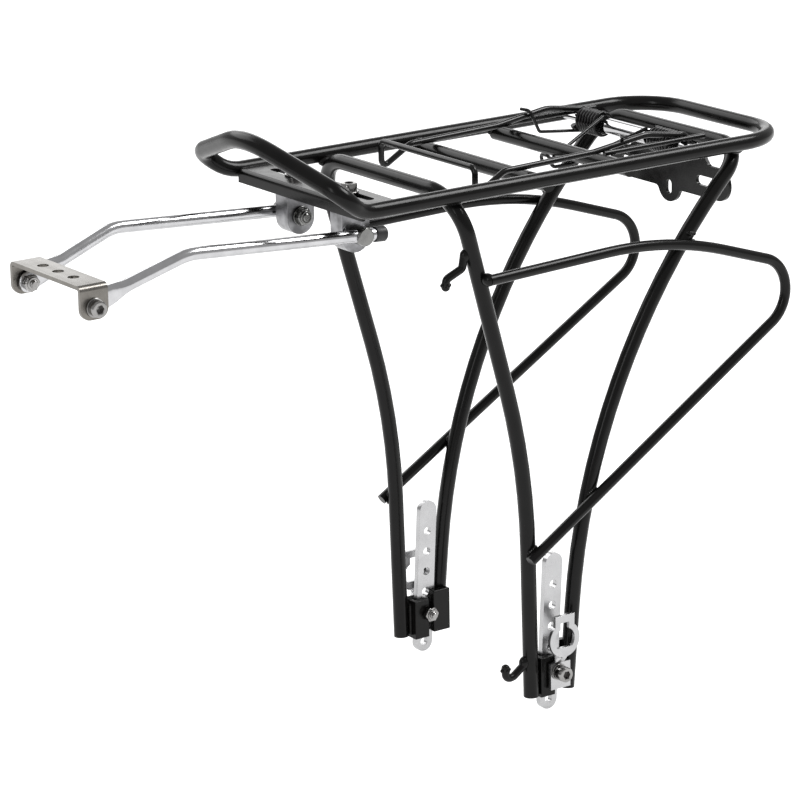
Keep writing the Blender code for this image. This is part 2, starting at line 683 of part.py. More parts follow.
def clip_half_route():
    """One side of the clip: the eye round the axle, the arm, and the folded front end."""
    eye = arc(AXLE_X, PLATFORM_Z, CLIP_EYE_RADIUS, -150, 100, 12)
    eye = [Vector((x, CLIP_EYE_Y, z)) for x, z in eye]
    return eye[:-1] + filleted([eye[-1], *CLIP_ARM], CLIP_BENDS, math.radians(15))[:-1]


def build_clip(wire_paint, chrome):
    half = clip_half_route()
    route = [mirrored(p, -1) for p in half] + [mirrored(p, 1) for p in reversed(half)]
    tube("clip_wire", route, CLIP_WIRE, wire_paint, resolution=2)
    for word, side in SIDES:
        tube(f"clip_strut_{word}", [mirrored(p, side) for p in STRUT_ENDS], STRUT, wire_paint, resolution=2)
    rod = ((AXLE / 2, 2 * RUNG_HALF), (AXLE / 2, 0))
    turned("clip_axle", rod, (AXLE_X, -RUNG_HALF, PLATFORM_Z), (0, 1, 0), chrome)
    bore = AXLE / 2 + GAP
    sleeve = ((SLEEVE / 2, 2 * SLEEVE_HALF), (SLEEVE / 2, 0), (bore, 0), (bore, 2 * SLEEVE_HALF))
    turned("axle_sleeve", sleeve, (AXLE_X, -SLEEVE_HALF, PLATFORM_Z), (0, 1, 0), chrome, closed=True)


def build_springs(wire_paint):
    """The spring is one wire. Its coils and outer legs turn with the clip, and its middle loop
    bears on the rear rung, so that loop is a piece of its own."""
    steps = round(SPRING_STEPS * SPRING_TURNS)
    pitch = (SPRING_OUTER_Y - SPRING_INNER_Y) / steps
    turns = arc(AXLE_X, PLATFORM_Z, SPRING_RADIUS, 90, 90 - 360 * SPRING_TURNS, steps)
    coil = [Vector((x, SPRING_INNER_Y + pitch * i, z)) for i, (x, z) in enumerate(turns)]
    leg = filleted([coil[-1], *SPRING_LEG], SPRING_LEG_RADII, math.radians(30))
    for word, side in SIDES:
        route = [mirrored(p, side) for p in coil[:-1] + leg]
        tube(f"spring_{word}", route, SPRING_WIRE, wire_paint, resolution=1)
    half = filleted(SPRING_LOOP, SPRING_LOOP_RADII, math.radians(20))[:-1]
    route = [mirrored(p, -1) for p in half] + [mirrored(p, 1) for p in reversed(half)]
    tube("spring_loop", route, SPRING_LOOP_WIRE, wire_paint, resolution=1)


def add_pivots():
    """An empty on each joint's axis, with the pieces that it moves as its children."""
    swing = add_pivot("stay_swing", (BRACKET_X, 0, EYE_Z), ("eye_bolt", "eye_washer", "eye_nut"))
    slide = add_pivot("stay_slide", (BRACKET_X, 0, EYE_Z), ("stay_left", "stay_right", "stay_cap"), swing)
    bridge = ("bridge_plate", "bridge_bolt", "bridge_washer", "bridge_nut")
    add_pivot("bridge_tilt", (BRIDGE_X, 0, BRIDGE_BOLT_Z), bridge, slide)
    add_pivot("clip_hinge", (AXLE_X, 0, PLATFORM_Z), ("clip_wire", "clip_strut", "spring_left", "spring_right"))


def add_pivot(name, at, prefixes, parent=None):
    pivot = bpy.data.objects.new(name, None)
    pivot.location = at
    bpy.context.scene.collection.objects.link(pivot)
    bpy.context.view_layer.update()
    pieces = [obj for obj in bpy.data.objects if obj.type != "EMPTY" and obj.name.startswith(prefixes)]
    for piece in pieces:
        hang(piece, pivot)
    if parent:
        hang(pivot, parent)
    return pivot


def hang(obj, parent):
    obj.parent = parent
    obj.matrix_parent_inverse = parent.matrix_world.inverted()


def main():
    clear_scene()
    paint = material("black_paint", (0.018, 0.018, 0.018), 0.0, 0.32)
    wire_paint = material("black_wire", (0.012, 0.012, 0.012), 0.2, 0.28)
    steel = material("plated_steel", (0.62, 0.62, 0.62), 1.0, 0.30)
    chrome = material("bright_steel", (0.75, 0.75, 0.76), 1.0, 0.16)
    rubber = material("black_rubber", (0.015, 0.015, 0.016), 0.0, 0.60)
    build_platform(paint)
    build_legs(paint)
    build_pannier_hoops(paint)
    build_pump_pegs(paint)
    build_stay_mount(paint)
    build_light_bracket(paint)
    build_brackets(steel, chrome)
    build_eye_bolts(steel)
    build_stays(steel, rubber)
    build_bridge(steel, chrome)
    build_strips(steel)
    build_foot_guides(paint)
    build_clamps(steel, chrome)
    build_clip(wire_paint, chrome)
    build_springs(wire_paint)
    add_pivots()


main()
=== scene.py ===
"""The looks of the rear rack: fine tubes, wire, sheet metal, fasteners and weld beads round the CAD."""

import math

import bpy
from mathutils import Matrix, Vector


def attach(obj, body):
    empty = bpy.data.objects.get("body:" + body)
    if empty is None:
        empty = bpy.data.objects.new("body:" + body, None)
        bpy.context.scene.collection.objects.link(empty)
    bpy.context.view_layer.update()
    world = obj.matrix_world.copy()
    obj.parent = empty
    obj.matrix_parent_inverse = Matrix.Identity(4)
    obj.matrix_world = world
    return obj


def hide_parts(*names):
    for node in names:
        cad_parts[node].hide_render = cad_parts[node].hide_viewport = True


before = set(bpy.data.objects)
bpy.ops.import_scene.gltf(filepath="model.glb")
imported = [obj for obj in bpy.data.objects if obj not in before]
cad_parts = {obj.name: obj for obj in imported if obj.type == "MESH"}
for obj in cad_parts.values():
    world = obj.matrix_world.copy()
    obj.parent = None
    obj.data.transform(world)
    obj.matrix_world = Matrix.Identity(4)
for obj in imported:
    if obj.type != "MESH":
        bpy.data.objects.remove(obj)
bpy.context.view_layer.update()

SIDES = (("left", -1), ("right", 1))
UP = (0, 0, 1)
ALONG_Y = (0, 1, 0)

# Tubes, as in the CAD
TUBE = 0.005
RAIL_Y = 0.073
RAIL_Z = 0.3495
REAR_BAR_X = 0.255
HOOP_START_X = -0.083
PLATFORM_HALF = ((REAR_BAR_X, RAIL_Y, RAIL_Z), (HOOP_START_X, RAIL_Y, RAIL_Z), (-0.100, 0.080, 0.363))
HOOP_CROWN = (-0.119, 0, 0.3895)
HOOP_SWELL = 0.0006
HOOP_SWELL_LENGTH = 0.020
PLATFORM_RADII = (0.038, 0.024, 0.0135, 0.060, 0.0135, 0.024, 0.038)
PLATFORM_SPACING = 0.004
FRONT_LEG = ((0.0421, 0.0715, 0.0125), (0.0389, 0.0724, 0.166), (-0.0129, 0.0748, 0.3490))
FRONT_LEG_RADII = (0.430, 0.028, 0.028, 0.430)
REAR_LEG = ((0.0708, 0.0715, 0.0125), (0.0895, 0.0710, 0.2187), (0.2170, 0.0705, 0.3460))
REAR_LEG_RADII = (0.417, 0.022, 0.022, 0.417)
LEGS = {"front_leg": (FRONT_LEG, FRONT_LEG_RADII), "rear_leg": (REAR_LEG, REAR_LEG_RADII)}
LEG_STEP = math.radians(2.5)
LEG_WELD = (0.0062, 0.0034, 0.0034)
RUNGS = {"rung_middle": 0.060, "rung_rear": 0.1244}
RUNG_Z = 0.345
RUNG_REACH = 0.0705

# Pannier hoops. Each weld is (x, z, the leg's slope there), with a bead above and below the rod
PANNIER_TUBE = 0.0035
PANNIER_ROUTE = ((0.004, 0.2955), (0.1468, 0.299), (0.2807, 0.2552), (0.035, 0.107))
PANNIER_RADII = (0.290, 0.024)
PANNIER_STEP = math.radians(2)
PANNIER_Y = 0.0832
PANNIER_Y_PER_X = -0.021
PANNIER_Y_PER_Z = 0.0068
PANNIER_END = (0.0040, 0.0052, 0.0042)
PANNIER_END_BACK = 0.0004
PANNIER_END_INWARD = 0.0022
PANNIER_WELDS = ((0.1700, 0.2948, -0.16), (0.0885, 0.1393, 0.6033), (0.0400, 0.1100, 0.6033))
PANNIER_BEADS = {"upper": 0.0026, "lower": -0.0026}
PANNIER_BEAD_INWARD = 0.0044
PANNIER_BEAD_HALF = 0.0036

# Pump pegs
PEG = 0.0026
UPPER_PEG = (
    (-0.0080, -0.0735, 0.3120),
    (-0.0096, -0.0735, 0.3035),
    (-0.0218, -0.0735, 0.2985),
    (-0.0223, -0.0735, 0.2925),
)
LOWER_PEG = (
    (0.0370, -0.0716, 0.0354),
    (0.0280, -0.0716, 0.0290),
    (0.0218, -0.0716, 0.0280),
    (0.0218, -0.0716, 0.0370),
)
PEGS = {"upper": (UPPER_PEG, (0.003, 0.0035)), "lower": (LOWER_PEG, (0.004, 0.0035))}
PEG_WELDS = ((-0.0072, -0.0735, 0.3110), (0.0366, -0.0716, 0.0362))
PEG_WELD = (0.0036, 0.0032, 0.0044)
KNOB = 0.0027
KNOB_BACK = 0.0024
KNOB_TIP = 0.0012
LUMP = 0.0013
LUMPS = 4

# Weld beads: the radius of each kind, then the steps along one, how its ends taper and its ripples
RUNG_BEAD = 0.0011
PANNIER_BEAD = 0.0016
MOUNT_BEAD = 0.0012
LIGHT_BEAD = 0.0013
GUIDE_BEAD = 0.0012
BEAD_STEP = 0.0003
BEAD_TAPER_STEPS = 5
BEAD_END = 0.25
RIPPLE = 0.07
RIPPLE_STEPS = 4.6
WANDER = 0.05
WANDER_TURN = 0.31
SADDLE_REACH = 0.0053
SADDLE_ARC = (-4, 184)
SADDLE_STEPS = 24
SADDLE_RAIL = 0.0051
SADDLE_DROP = 0.0049

# Stay mount plate
MOUNT_FRONT = -0.079
MOUNT_BACK = -0.051
MOUNT_TOP = 0.351
MOUNT_THICK = 0.0025
MOUNT_FOLD = 0.0032
MOUNT_DROP = 0.0085
MOUNT_WIDTH = 0.135
MOUNT_SLOT_Y = 0.039
MOUNT_SLOT = (0.030, 0.0064)
MOUNT_BEAD_X = (MOUNT_FRONT + 0.002, MOUNT_BACK - 0.001)
MOUNT_BEAD_Y = 0.0678
MOUNT_BEAD_Z = MOUNT_TOP - 0.0006

# Light bracket, from its middle: Y and height of the ends, the raised part and the lobe
LIGHT_X = 0.2143
LIGHT_Z = 0.31795
LIGHT_THICK = 0.0025
LIGHT_END = 0.0107
LIGHT_REACH = 0.061
LIGHT_FILLET = 0.004
LIGHT_NECK_Y = 0.0425
LIGHT_NECK_TURN = 55
LIGHT_RISE_Y = 0.0290
LIGHT_RISE = 0.0224
LIGHT_RISE_TURN = 50
LOBE = 0.0110
LOBE_DROP = 0.0090
LOBE_FILLET_Y = 0.01388
LOBE_TURN = 22.3
LOBE_SLOT_DROP = 0.0101
LOBE_SLOT = (0.0098, 0.006)
LIGHT_SLOT_Y = 0.0390
LIGHT_SLOT = (0.022, 0.0065)
LIGHT_BEAD_Y = (0.008, 0.027)
LIGHT_BEAD_RISE = 0.0231

# Screws, nuts and washers
SCREW = 0.0025
SCREW_HEAD = 0.0049
THREAD_PITCH = 0.0008
THREAD_DEPTH = 0.00038
THREAD_POINT = 0.0005
THREAD_CLEAR = 0.0006
THREAD_TOP = -0.0002
THREAD_TAPER = 0.0009
WASHER_HOLE = 0.0028
SEAT_WASHER = 0.0059
SEAT_WASHER_THICK = 0.0011
NUT_HOLE = 0.0026

# Stays
STAY_ROD = 0.004
EYE_Y = 0.0424
STAY_ROUTE = ((-0.0470, EYE_Y, 0.3255), (-0.1870, EYE_Y, 0.3350), (-0.2255, 0.0379, 0.3222))
STAY_BEND = 0.035
TAB_Y = 0.0360
TAB_HALF = (0.0017, 0.0065)
TAB_FROM = 0.0120
TAB_PARTS = (0.25, 0.5, 0.75, 1.0)
TAB_END_STEP = 9
TAB_END_HALF = 0.0004
STAY_CAP = (
    (0.0032, 0.0020),
    (0.0043, 0.0018),
    (0.0049, 0.0010),
    (0.0049, -0.0055),
    (0.0047, -0.0060),
    (0.0041, -0.0060),
)

# Stay brackets and eye bolts
BRACKET_X = -0.062
BRACKET_Y = 0.030
BRACKET_THICK = 0.013
BRACKET_HALF = 0.010
BRACKET_BOTTOM = 0.3148
BRACKET_TOP = 0.3482
SEAT_Z = 0.3512
SEAT_SCREW_LENGTH = 0.0154
EYE_Z = 0.3265
EYE_HEAD_Y = EYE_Y - 0.0056
EYE_SHANK = 0.0030
EYE_HEAD = (
    (0.0050, 0.0112),
    (0.0056, 0.0108),
    (0.0058, 0.0103),
    (0.0058, 0.0014),
    (0.0058, 0.0012),
    (0.0058, 0.0002),
    (0.0056, 0.0),
    (EYE_SHANK, 0.0),
)
EYE_THREAD = (-0.0130, -0.0204)
EYE_THREAD_PITCH = 0.001
EYE_SEAT_Y = BRACKET_Y - BRACKET_THICK / 2 - 0.0003
EYE_WASHER = (0.0033, 0.00625, 0.0012)
EYE_NUT = (0.0031, 0.0056, 0.0048)
EYE_NUT_Y = EYE_SEAT_Y - 0.0013

# Bridge plate
BRIDGE_X = -0.2505
BRIDGE_HALF = 0.0095
BRIDGE_REACH = 0.0405
BRIDGE_TOP = 0.3267
BRIDGE_THICK = 0.0025
BRIDGE_BEND = 0.0036
BRIDGE_BOLT_Z = 0.313
BRIDGE_HOLE = 0.007
BRIDGE_HOLE_Y = (-0.0175, 0, 0.0175)
EAR_LOW = BRIDGE_BOLT_Z - 0.0074
EAR_CORNER = 0.0068
EAR_WASHER_Y = 0.0407
EAR_SCREW_Y = 0.0419
EAR_SCREW_LENGTH = 0.0145
EAR_NUT_Y = 0.0340
EAR_NUT = (0.0054, 0.0046)

# Feet: the drilled strips, and the guides that hold them
CLAMP_X = 0.0581
CLAMP_Z = 0.0277
CLAMP_BORE = 0.0056
STRIP_LEAN = math.radians(3.3)
STRIP_HALF = 0.00675
STRIP_LENGTH = 0.091
STRIP_HOLES = (-0.0211, 0, 0.014, 0.028, 0.042, 0.056)
STRIP_HOLE = 0.0056
STRIP_Y = 0.0683
STRIP_THICK = 0.004
GUIDE = (
    (0.0474, 0.0620),
    (0.0585, 0.0620),
    (0.0585, 0.0659),
    (0.0500, 0.0659),
    (0.0500, 0.0707),
    (0.0585, 0.0707),
    (0.0585, 0.0755),
    (0.0474, 0.0755),
)
GUIDE_HEIGHT = 0.0265
GUIDE_Z = 0.02425
BACKING = (0.0617, 0.0750, 0.0135, 0.0425)
BACKING_Y = 0.06345
BACKING_THICK = 0.0049
GUIDE_WELDS = ((0.0468, 0.0672, 0.013, 0.036), (0.0712, 0.0664, 0.016, 0.041))

# Clamp plates: the joggle as (y, z), the blank's foot and neck as (x, z), the ring and its keyhole
CLAMP_IN = 0.0769
CLAMP_OUT = CLAMP_IN + 0.0024
RING_IN = 0.0810
RING_OUT = RING_IN + 0.0024
CLAMP_LOW = 0.0160
CLAMP_HIGH = 0.0665
JOGGLE = (
    (CLAMP_IN, CLAMP_LOW),
    (CLAMP_OUT, CLAMP_LOW),
    (CLAMP_OUT, 0.0333),
    (RING_OUT, 0.0386),
    (RING_OUT, CLAMP_HIGH),
    (RING_IN, CLAMP_HIGH),
    (RING_IN, 0.0396),
    (CLAMP_IN, 0.0343),
)
CLAMP_FRONT = ((0.0522, CLAMP_LOW), (0.0678, CLAMP_LOW), (0.0678, 0.0335), (0.0625, 0.0340))
CLAMP_REAR = ((0.0555, 0.0340), (0.0522, 0.0335))
RING_X = 0.0605
RING_Z = 0.0500
RING = 0.0118
RING_RIGHT = (-80, 50)
RING_LEFT = (130, 262)
RING_TOP = (0.0078, -0.0075)
KEYHOLE = 0.0078
KEYHOLE_ARCS = ((115.8, 221.8), (318.2, 424.2))
KEYHOLE_HALF = 0.0034
KEYHOLE_TOP = 0.0615
CLAMP_WASHER_Y = 0.0795
CLAMP_WASHER = 0.0055
CLAMP_WASHER_THICK = 0.0012
SPLIT_WASHER = (0.0029, 0.0048)
SPLIT_WASHER_Y = 0.0808
SPLIT_WASHER_THICK = 0.0015
SPLIT_WASHER_RISE = 0.0008
SPLIT_WASHER_START = 12
SPLIT_WASHER_TURN = 336
SPLIT_WASHER_STEPS = 36
CLAMP_SCREW_Y = 0.0834
CLAMP_SCREW_LENGTH = 0.0294
CLAMP_NUT_Y = 0.0608
CLAMP_NUT = (0.0052, 0.0045)

# Sprung clip
AXLE_X = 0.180
AXLE = 0.0025
AXLE_HALF = 0.0704
SLEEVE = 0.00525
SLEEVE_HALF = 0.0205
SLEEVE_GAP = 0.0003
SLEEVE_EDGE = 0.0003
CLIP_WIRE = 0.002
CLIP_EYE = 0.0068
CLIP_EYE_Y = 0.0517
CLIP_EYE_ARC = (-150, 100)
CLIP_EYE_STEPS = 36
CLIP_ARM = (
    (0.1520, 0.0516, 0.3602),
    (0.1100, 0.0505, 0.3545),
    (0.0410, 0.0500, 0.3528),
    (0.0183, 0.0500, 0.3400),
    (0.0183, 0.0500, 0.3579),
    (0.0183, 0, 0.3579),
)
CLIP_BENDS = (0.030, 0.040, 0.010, 0.0034, 0.004)
CLIP_STEP = math.radians(6)
STRUT = 0.0017
STRUT_ENDS = ((0.1160, 0.0546, 0.3536), (0.1960, 0.0562, 0.3541))
SPRING_WIRE = 0.0011
SPRING_RADIUS = 0.0073
SPRING_TURNS = 7.5
SPRING_TURN_STEPS = 28
SPRING_STEP = math.radians(8)
SPRING_Y = (0.0262, 0.0480)
SPRING_LEG = ((0.1429, 0.0474, 0.3465), (0.1350, 0.0472, 0.3618), (0.1335, 0.0550, 0.3618))
SPRING_LEG_BENDS = (0.003, 0.003)
SPRING_LOOP_WIRE = 0.0012
SPRING_LOOP = (
    (0.1765, 0.0228, 0.3560),
    (0.1244, 0.0100, 0.3378),
    (0.1130, 0.0050, 0.3365),
    (0.1110, 0.0045, 0.3440),
    (0.1110, 0, 0.3440),
)
SPRING_LOOP_BENDS = (0.010, 0.003, 0.003)

# Steps in small bends, and the depth of a tool that cuts right through
FOLD_STEPS = 8
FILLET_STEPS = 6
ROUND_STEPS = 32
EAR_STEPS = 12
RING_STEPS = 24
THROUGH = 0.02

# Metals: dark and light colour, range of roughness, the grain's scale and its stretch
EVEN = (1, 1, 1)
METALS = {
    "zinc_plate": ((0.42, 0.42, 0.425), (0.46, 0.46, 0.465), (0.24, 0.30), 120, EVEN),
    "bracket_zinc": ((0.15, 0.15, 0.155), (0.32, 0.32, 0.33), (0.28, 0.40), 340, EVEN),
    "drawn_rod": ((0.45, 0.45, 0.46), (0.52, 0.52, 0.53), (0.13, 0.19), 300, (0.05, 1, 1)),
    "stainless": ((0.165, 0.155, 0.142), (0.20, 0.19, 0.175), (0.25, 0.31), 200, (1, 0.06, 1)),
    "bright_zinc": ((0.24, 0.235, 0.23), (0.33, 0.325, 0.32), (0.14, 0.22), 300, EVEN),
    "eye_steel": ((0.15, 0.15, 0.147), (0.21, 0.21, 0.205), (0.20, 0.28), 240, EVEN),
    "bright_tube": ((0.40, 0.40, 0.405), (0.47, 0.47, 0.475), (0.08, 0.14), 300, (1, 0.05, 1)),
}

# Stage: each light is (place, size, power), aimed at the rack's middle
FLOOR_REACH = 12
FLOOR_GREY = (0.5, 0.5, 0.5, 1)
FLOOR_GLOW = 0.85
WHITE = (1, 1, 1, 1)
LIGHT_AIM = (0, 0, 0.22)
LIGHTS = {
    "key": ((1.35, -0.70, 2.15), (1.3, 0.8), 42),
    "back": ((-0.4, 2.1, 1.75), (2.2, 1.3), 24),
    "back_right": ((1.6, 2.2, 1.1), (1.6, 1.2), 9),
    "front_left": ((-2.3, -0.9, 1.4), (0.5, 1.4), 9),
}
WORLD_STRENGTH = 0.5
CAMERA_AT = (-1.3496, -1.9062, 0.8906)
CAMERA_YAW = math.radians(35.18)
CAMERA_PITCH = math.radians(16.445)
CAMERA_ROLL = math.radians(-1.047)
CAMERA_LENS = 172.81
CAMERA_SENSOR = 36
CAMERA_FAR = 100


# --- shapes ------------------------------------------------------------------------------------


def mirrored(point, side):
    return Vector((point[0], point[1] * side, point[2]))


def filleted(points, radii, step=math.radians(4)):
    """The points with an arc of the given radius at each inner one."""
    points = [Vector(point) for point in points]
    route = [points[0]]
    for before, corner, after, radius in zip(points, points[1:], points[2:], radii):
        into = (before - corner).normalized()
        out = (after - corner).normalized()
        half = into.angle(out) / 2
        tangent = radius / math.tan(half)
        centre = corner + (into + out).normalized() * radius / math.sin(half)
        start = corner + into * tangent - centre
        end = corner + out * tangent - centre
        turn = start.angle(end)
        count = max(3, round(turn / step))
        for i in range(count + 1):
            part = i / count
            weights = math.sin((1 - part) * turn), math.sin(part * turn)
            route.append(centre + (start * weights[0] + end * weights[1]) / math.sin(turn))
    route.append(points[-1])
    return route


def smooth_step(part):
    return part * part * (3 - 2 * part)


def both_sides(half):
    """A route from the left side across to the right, from one side's points in order inward."""
    return [mirrored(p, -1) for p in half] + [mirrored(p, 1) for p in reversed(half)]


def arc(x, y, radius, start, end, count=20):
    angles = [math.radians(start + (end - start) * i / count) for i in range(count + 1)]
    return [(x + radius * math.cos(a), y + radius * math.sin(a)) for a in angles]


def circle(x, y, diameter, count=40):
    return arc(x, y, diameter / 2, 0, 360 * (1 - 1 / count), count - 1)


def slot_outline(x, y, length, width):
    reach = (length - width) / 2
    return arc(x, y + reach, width / 2, 0, 180) + arc(x, y - reach, width / 2, 180, 360)


def box_outline(x0, x1, y0, y1):
    return [(x0, y0), (x1, y0), (x1, y1), (x0, y1)]


def across(y):
    """Local X along the rack and local Y up, in the side plane at y."""
    return Matrix.Translation((0, y, 0)) @ Matrix.Rotation(math.radians(90), 4, "X")


def facing(x, side=1):
    """Local X to the side and local Y up, in the cross plane at x."""
    return Matrix(((0, 0, 1, x), (side, 0, 0, 0), (0, 1, 0, 0), (0, 0, 0, 1)))


def show(obj, body, finish, replaced=()):
    obj.data.materials.clear()
    obj.data.materials.append(finish)
    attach(obj, body)
    if replaced:
        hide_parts(*replaced)
    return obj


def new_object(name, data):
    obj = bpy.data.objects.new(name, data)
    bpy.context.scene.collection.objects.link(obj)
    return obj


def as_mesh(obj, name):
    """The object's evaluated shape as a new mesh object. The old one goes."""
    bpy.context.view_layer.update()
    graph = bpy.context.evaluated_depsgraph_get()
    mesh = bpy.data.meshes.new_from_object(obj.evaluated_get(graph))
    mesh.transform(obj.matrix_world)
    bpy.data.objects.remove(obj)
    return new_object(name, mesh)


def tube(name, route, radius, closed=False, radii=None, resolution=7):
    """A round tube along a route. Radii, where given, are shares of radius at each point."""
    curve = bpy.data.curves.new(name, "CURVE")
    curve.dimensions = "3D"
    curve.bevel_depth = radius
    curve.bevel_resolution = resolution
    curve.use_fill_caps = not closed
    spline = curve.splines.new("POLY")
    spline.points.add(len(route) - 1)
    for i, (spot, point) in enumerate(zip(spline.points, route)):
        spot.co = (*point, 1)
        spot.radius = radii[i] if radii else 1
    spline.use_cyclic_u = closed
    spline.use_smooth = True
    made = as_mesh(new_object(name, curve), name)
    made.data.set_sharp_from_angle(angle=math.radians(40))
    return made


def resampled(route, spacing):
    """Points a fixed distance apart along a route."""
    route = [Vector(p) for p in route]
    points = [route[0]]
    left = spacing
    for a, b in zip(route, route[1:]):
        length = (b - a).length
        while left <= length:
            points.append(a.lerp(b, left / length))
            left += spacing
        left -= length
    return points


def ball(name, at, radii, rings=12, count=20):
    """A closed ellipsoid with level rings of quads and a fan at either pole."""
    vertices = [(0, 0, radii[2])]
    for i in range(1, rings):
        tilt = math.pi * i / rings
        for j in range(count):
            turn = 2 * math.pi * j / count
            level = radii[0] * math.sin(tilt) * math.cos(turn), radii[1] * math.sin(tilt) * math.sin(turn)
            vertices.append((*level, radii[2] * math.cos(tilt)))
    vertices.append((0, 0, -radii[2]))
    last = len(vertices) - 1
    faces = []
    for j in range(count):
        k = (j + 1) % count
        faces.append((0, 1 + j, 1 + k))
        faces.append((last, last - count + k, last - count + j))
        for i in range(rings - 2):
            low = 1 + i * count
            faces.append((low + j, low + count + j, low + count + k, low + k))
    mesh = bpy.data.meshes.new(name)
    mesh.from_pydata(vertices, [], faces)
    mesh.shade_smooth()
    mesh.transform(Matrix.Translation(at))
    return new_object(name, mesh)


def weld_bead(name, route, radius, paint):
    """A painted-over weld: a thin bead with the ripples of its passes."""
    points = resampled(route, BEAD_STEP)
    last = len(points) - 1
    radii = []
    for i in range(len(points)):
        taper = math.sqrt(min(1, min(i, last - i) / BEAD_TAPER_STEPS))
        ripple = 1 + RIPPLE * math.cos(2 * math.pi * i / RIPPLE_STEPS) + WANDER * math.sin(WANDER_TURN * i)
        radii.append(ripple * (BEAD_END + (1 - BEAD_END) * taper))
    return show(tube(name, points, radius, radii=radii, resolution=3), "frame", paint)


def extruded(name, outlines, thickness, placing):
    """A flat solid from an outline and its holes."""
    curve = bpy.data.curves.new(name, "CURVE")
    curve.dimensions = "2D"
    curve.fill_mode = "BOTH"
    curve.extrude = thickness / 2
    for outline in outlines:
        spline = curve.splines.new("POLY")
        spline.points.add(len(outline) - 1)
        for spot, (x, y) in zip(spline.points, outline):
            spot.co = (x, y, 0, 1)
        spline.use_cyclic_u = True
    obj = new_object(name, curve)
    obj.matrix_world = placing
    solid = as_mesh(obj, name)
    weld = solid.modifiers.new("weld", "WELD")
    weld.merge_threshold = 0.000001
    return solid


def cut(obj, other, operation="DIFFERENCE"):
    step = obj.modifiers.new(operation.lower(), "BOOLEAN")
    step.operation = operation
    step.object = other
    made = as_mesh(obj, obj.name)
    bpy.data.objects.remove(other)
    return made


def eased(obj, width=0.0003, segments=2):
    """Rounds the edges that a press or a saw leaves, and shades the rest smooth."""
    bevel = obj.modifiers.new("edges", "BEVEL")
    bevel.width = width
    bevel.segments = segments
    bevel.limit_method = "ANGLE"
    bevel.angle_limit = math.radians(35)
    bevel.harden_normals = True
    bevel.use_clamp_overlap = True
    obj.data.shade_smooth()
    return as_mesh(obj, obj.name)


def hexagonal(radius, angle):
    turn = angle % math.radians(60) - math.radians(30)
    return radius * math.cos(math.radians(30)) / math.cos(turn)


def turned(name, profile, at, axis, closed=False, count=48):
    """A turned body about axis through at, from (radius, height) pairs, top first down the outer
    side. A negative radius is a hexagon's corner radius."""
    vertices = []
    for radius, height in profile:
        for i in range(count):
            angle = 2 * math.pi * i / count
            reach = radius if radius >= 0 else hexagonal(-radius, angle)
            vertices.append((reach * math.cos(angle), reach * math.sin(angle), height))
    rings = len(profile)
    faces = []
    for ring in range(rings if closed else rings - 1):
        lower = (ring + 1) % rings
        for i in range(count):
            j = (i + 1) % count
            faces.append((ring * count + i, lower * count + i, lower * count + j, ring * count + j))
    if not closed:
        faces.append(tuple(range(count)))
        faces.append(tuple(reversed(range((rings - 1) * count, rings * count))))
    mesh = bpy.data.meshes.new(name)
    mesh.from_pydata(vertices, [], faces)
    mesh.shade_smooth()
    mesh.set_sharp_from_angle(angle=math.radians(32))
    turn = Vector((0, 0, 1)).rotation_difference(Vector(axis)).to_matrix().to_4x4()
    mesh.transform(Matrix.Translation(at) @ turn)
    return new_object(name, mesh)


def threaded(radius, top, bottom, pitch=THREAD_PITCH):
    """The profile of a screw thread, drawn as rings."""
    rings = []
    height = top
    while height - pitch > bottom + THREAD_CLEAR:
        rings += [(radius, height), (radius - THREAD_DEPTH, height - pitch / 2)]
        height -= pitch
    return rings + [(radius - THREAD_DEPTH, bottom + THREAD_POINT), (radius - THREAD_TAPER, bottom)]


def socket_screw(name, at, axis, length):
    """A hexagon-socket screw: its head stands on at, and its threaded shank goes the other way."""
    tall = SCREW * 2
    head = SCREW_HEAD
    profile = [
        (0.0002, 0.20 * tall),
        (-0.56 * head, 0.26 * tall),
        (-0.58 * head, 0.96 * tall),
        (0.64 * head, tall),
        (0.88 * head, tall),
        (0.95 * head, 0.97 * tall),
        (head, 0.89 * tall),
        (head, 0.03 * tall),
        (0.97 * head, 0),
        (SCREW, 0),
    ]
    return turned(name, profile + threaded(SCREW, THREAD_TOP, -length), at, axis)


def washer(name, at, axis, hole, radius, thickness):
    edge = 0.12 * thickness
    profile = [
        (radius - edge, thickness),
        (radius, thickness - edge),
        (radius, edge),
        (radius - edge, 0),
        (hole, 0),
        (hole, thickness),
    ]
    return turned(name, profile, at, axis, closed=True)


def nut(name, at, axis, hole, corner, height):
    """A chamfered hexagon nut with a round locking collar."""
    flat = corner * math.cos(math.radians(30))
    profile = [
        (0.78 * flat, height),
        (0.84 * flat, 0.96 * height),
        (0.86 * flat, 0.76 * height),
        (0.97 * flat, 0.74 * height),
        (-corner, 0.66 * height),
        (-corner, 0.07 * height),
        (0.97 * flat, 0),
        (hole, 0),
        (hole, height),
    ]
    return turned(name, profile, at, axis, closed=True)


# --- materials ---------------------------------------------------------------------------------


def shader_material(name, **values):
    made = bpy.data.materials.new(name)
    made.use_nodes = True
    shader = made.node_tree.nodes["Principled BSDF"]
    for key, value in values.items():
        shader.inputs[key.replace("_", " ").title().replace("Ior", "IOR")].default_value = value
    return made


def noise_node(made, scale, detail=3.0, stretch=EVEN):
    nodes = made.node_tree.nodes
    links = made.node_tree.links
    place = nodes.new("ShaderNodeTexCoord")
    mapping = nodes.new("ShaderNodeMapping")
    mapping.inputs["Scale"].default_value = stretch
    noise = nodes.new("ShaderNodeTexNoise")
    noise.inputs["Scale"].default_value = scale
    noise.inputs["Detail"].default_value = detail
    links.new(place.outputs["Object"], mapping.inputs["Vector"])
    links.new(mapping.outputs["Vector"], noise.inputs["Vector"])
    return noise


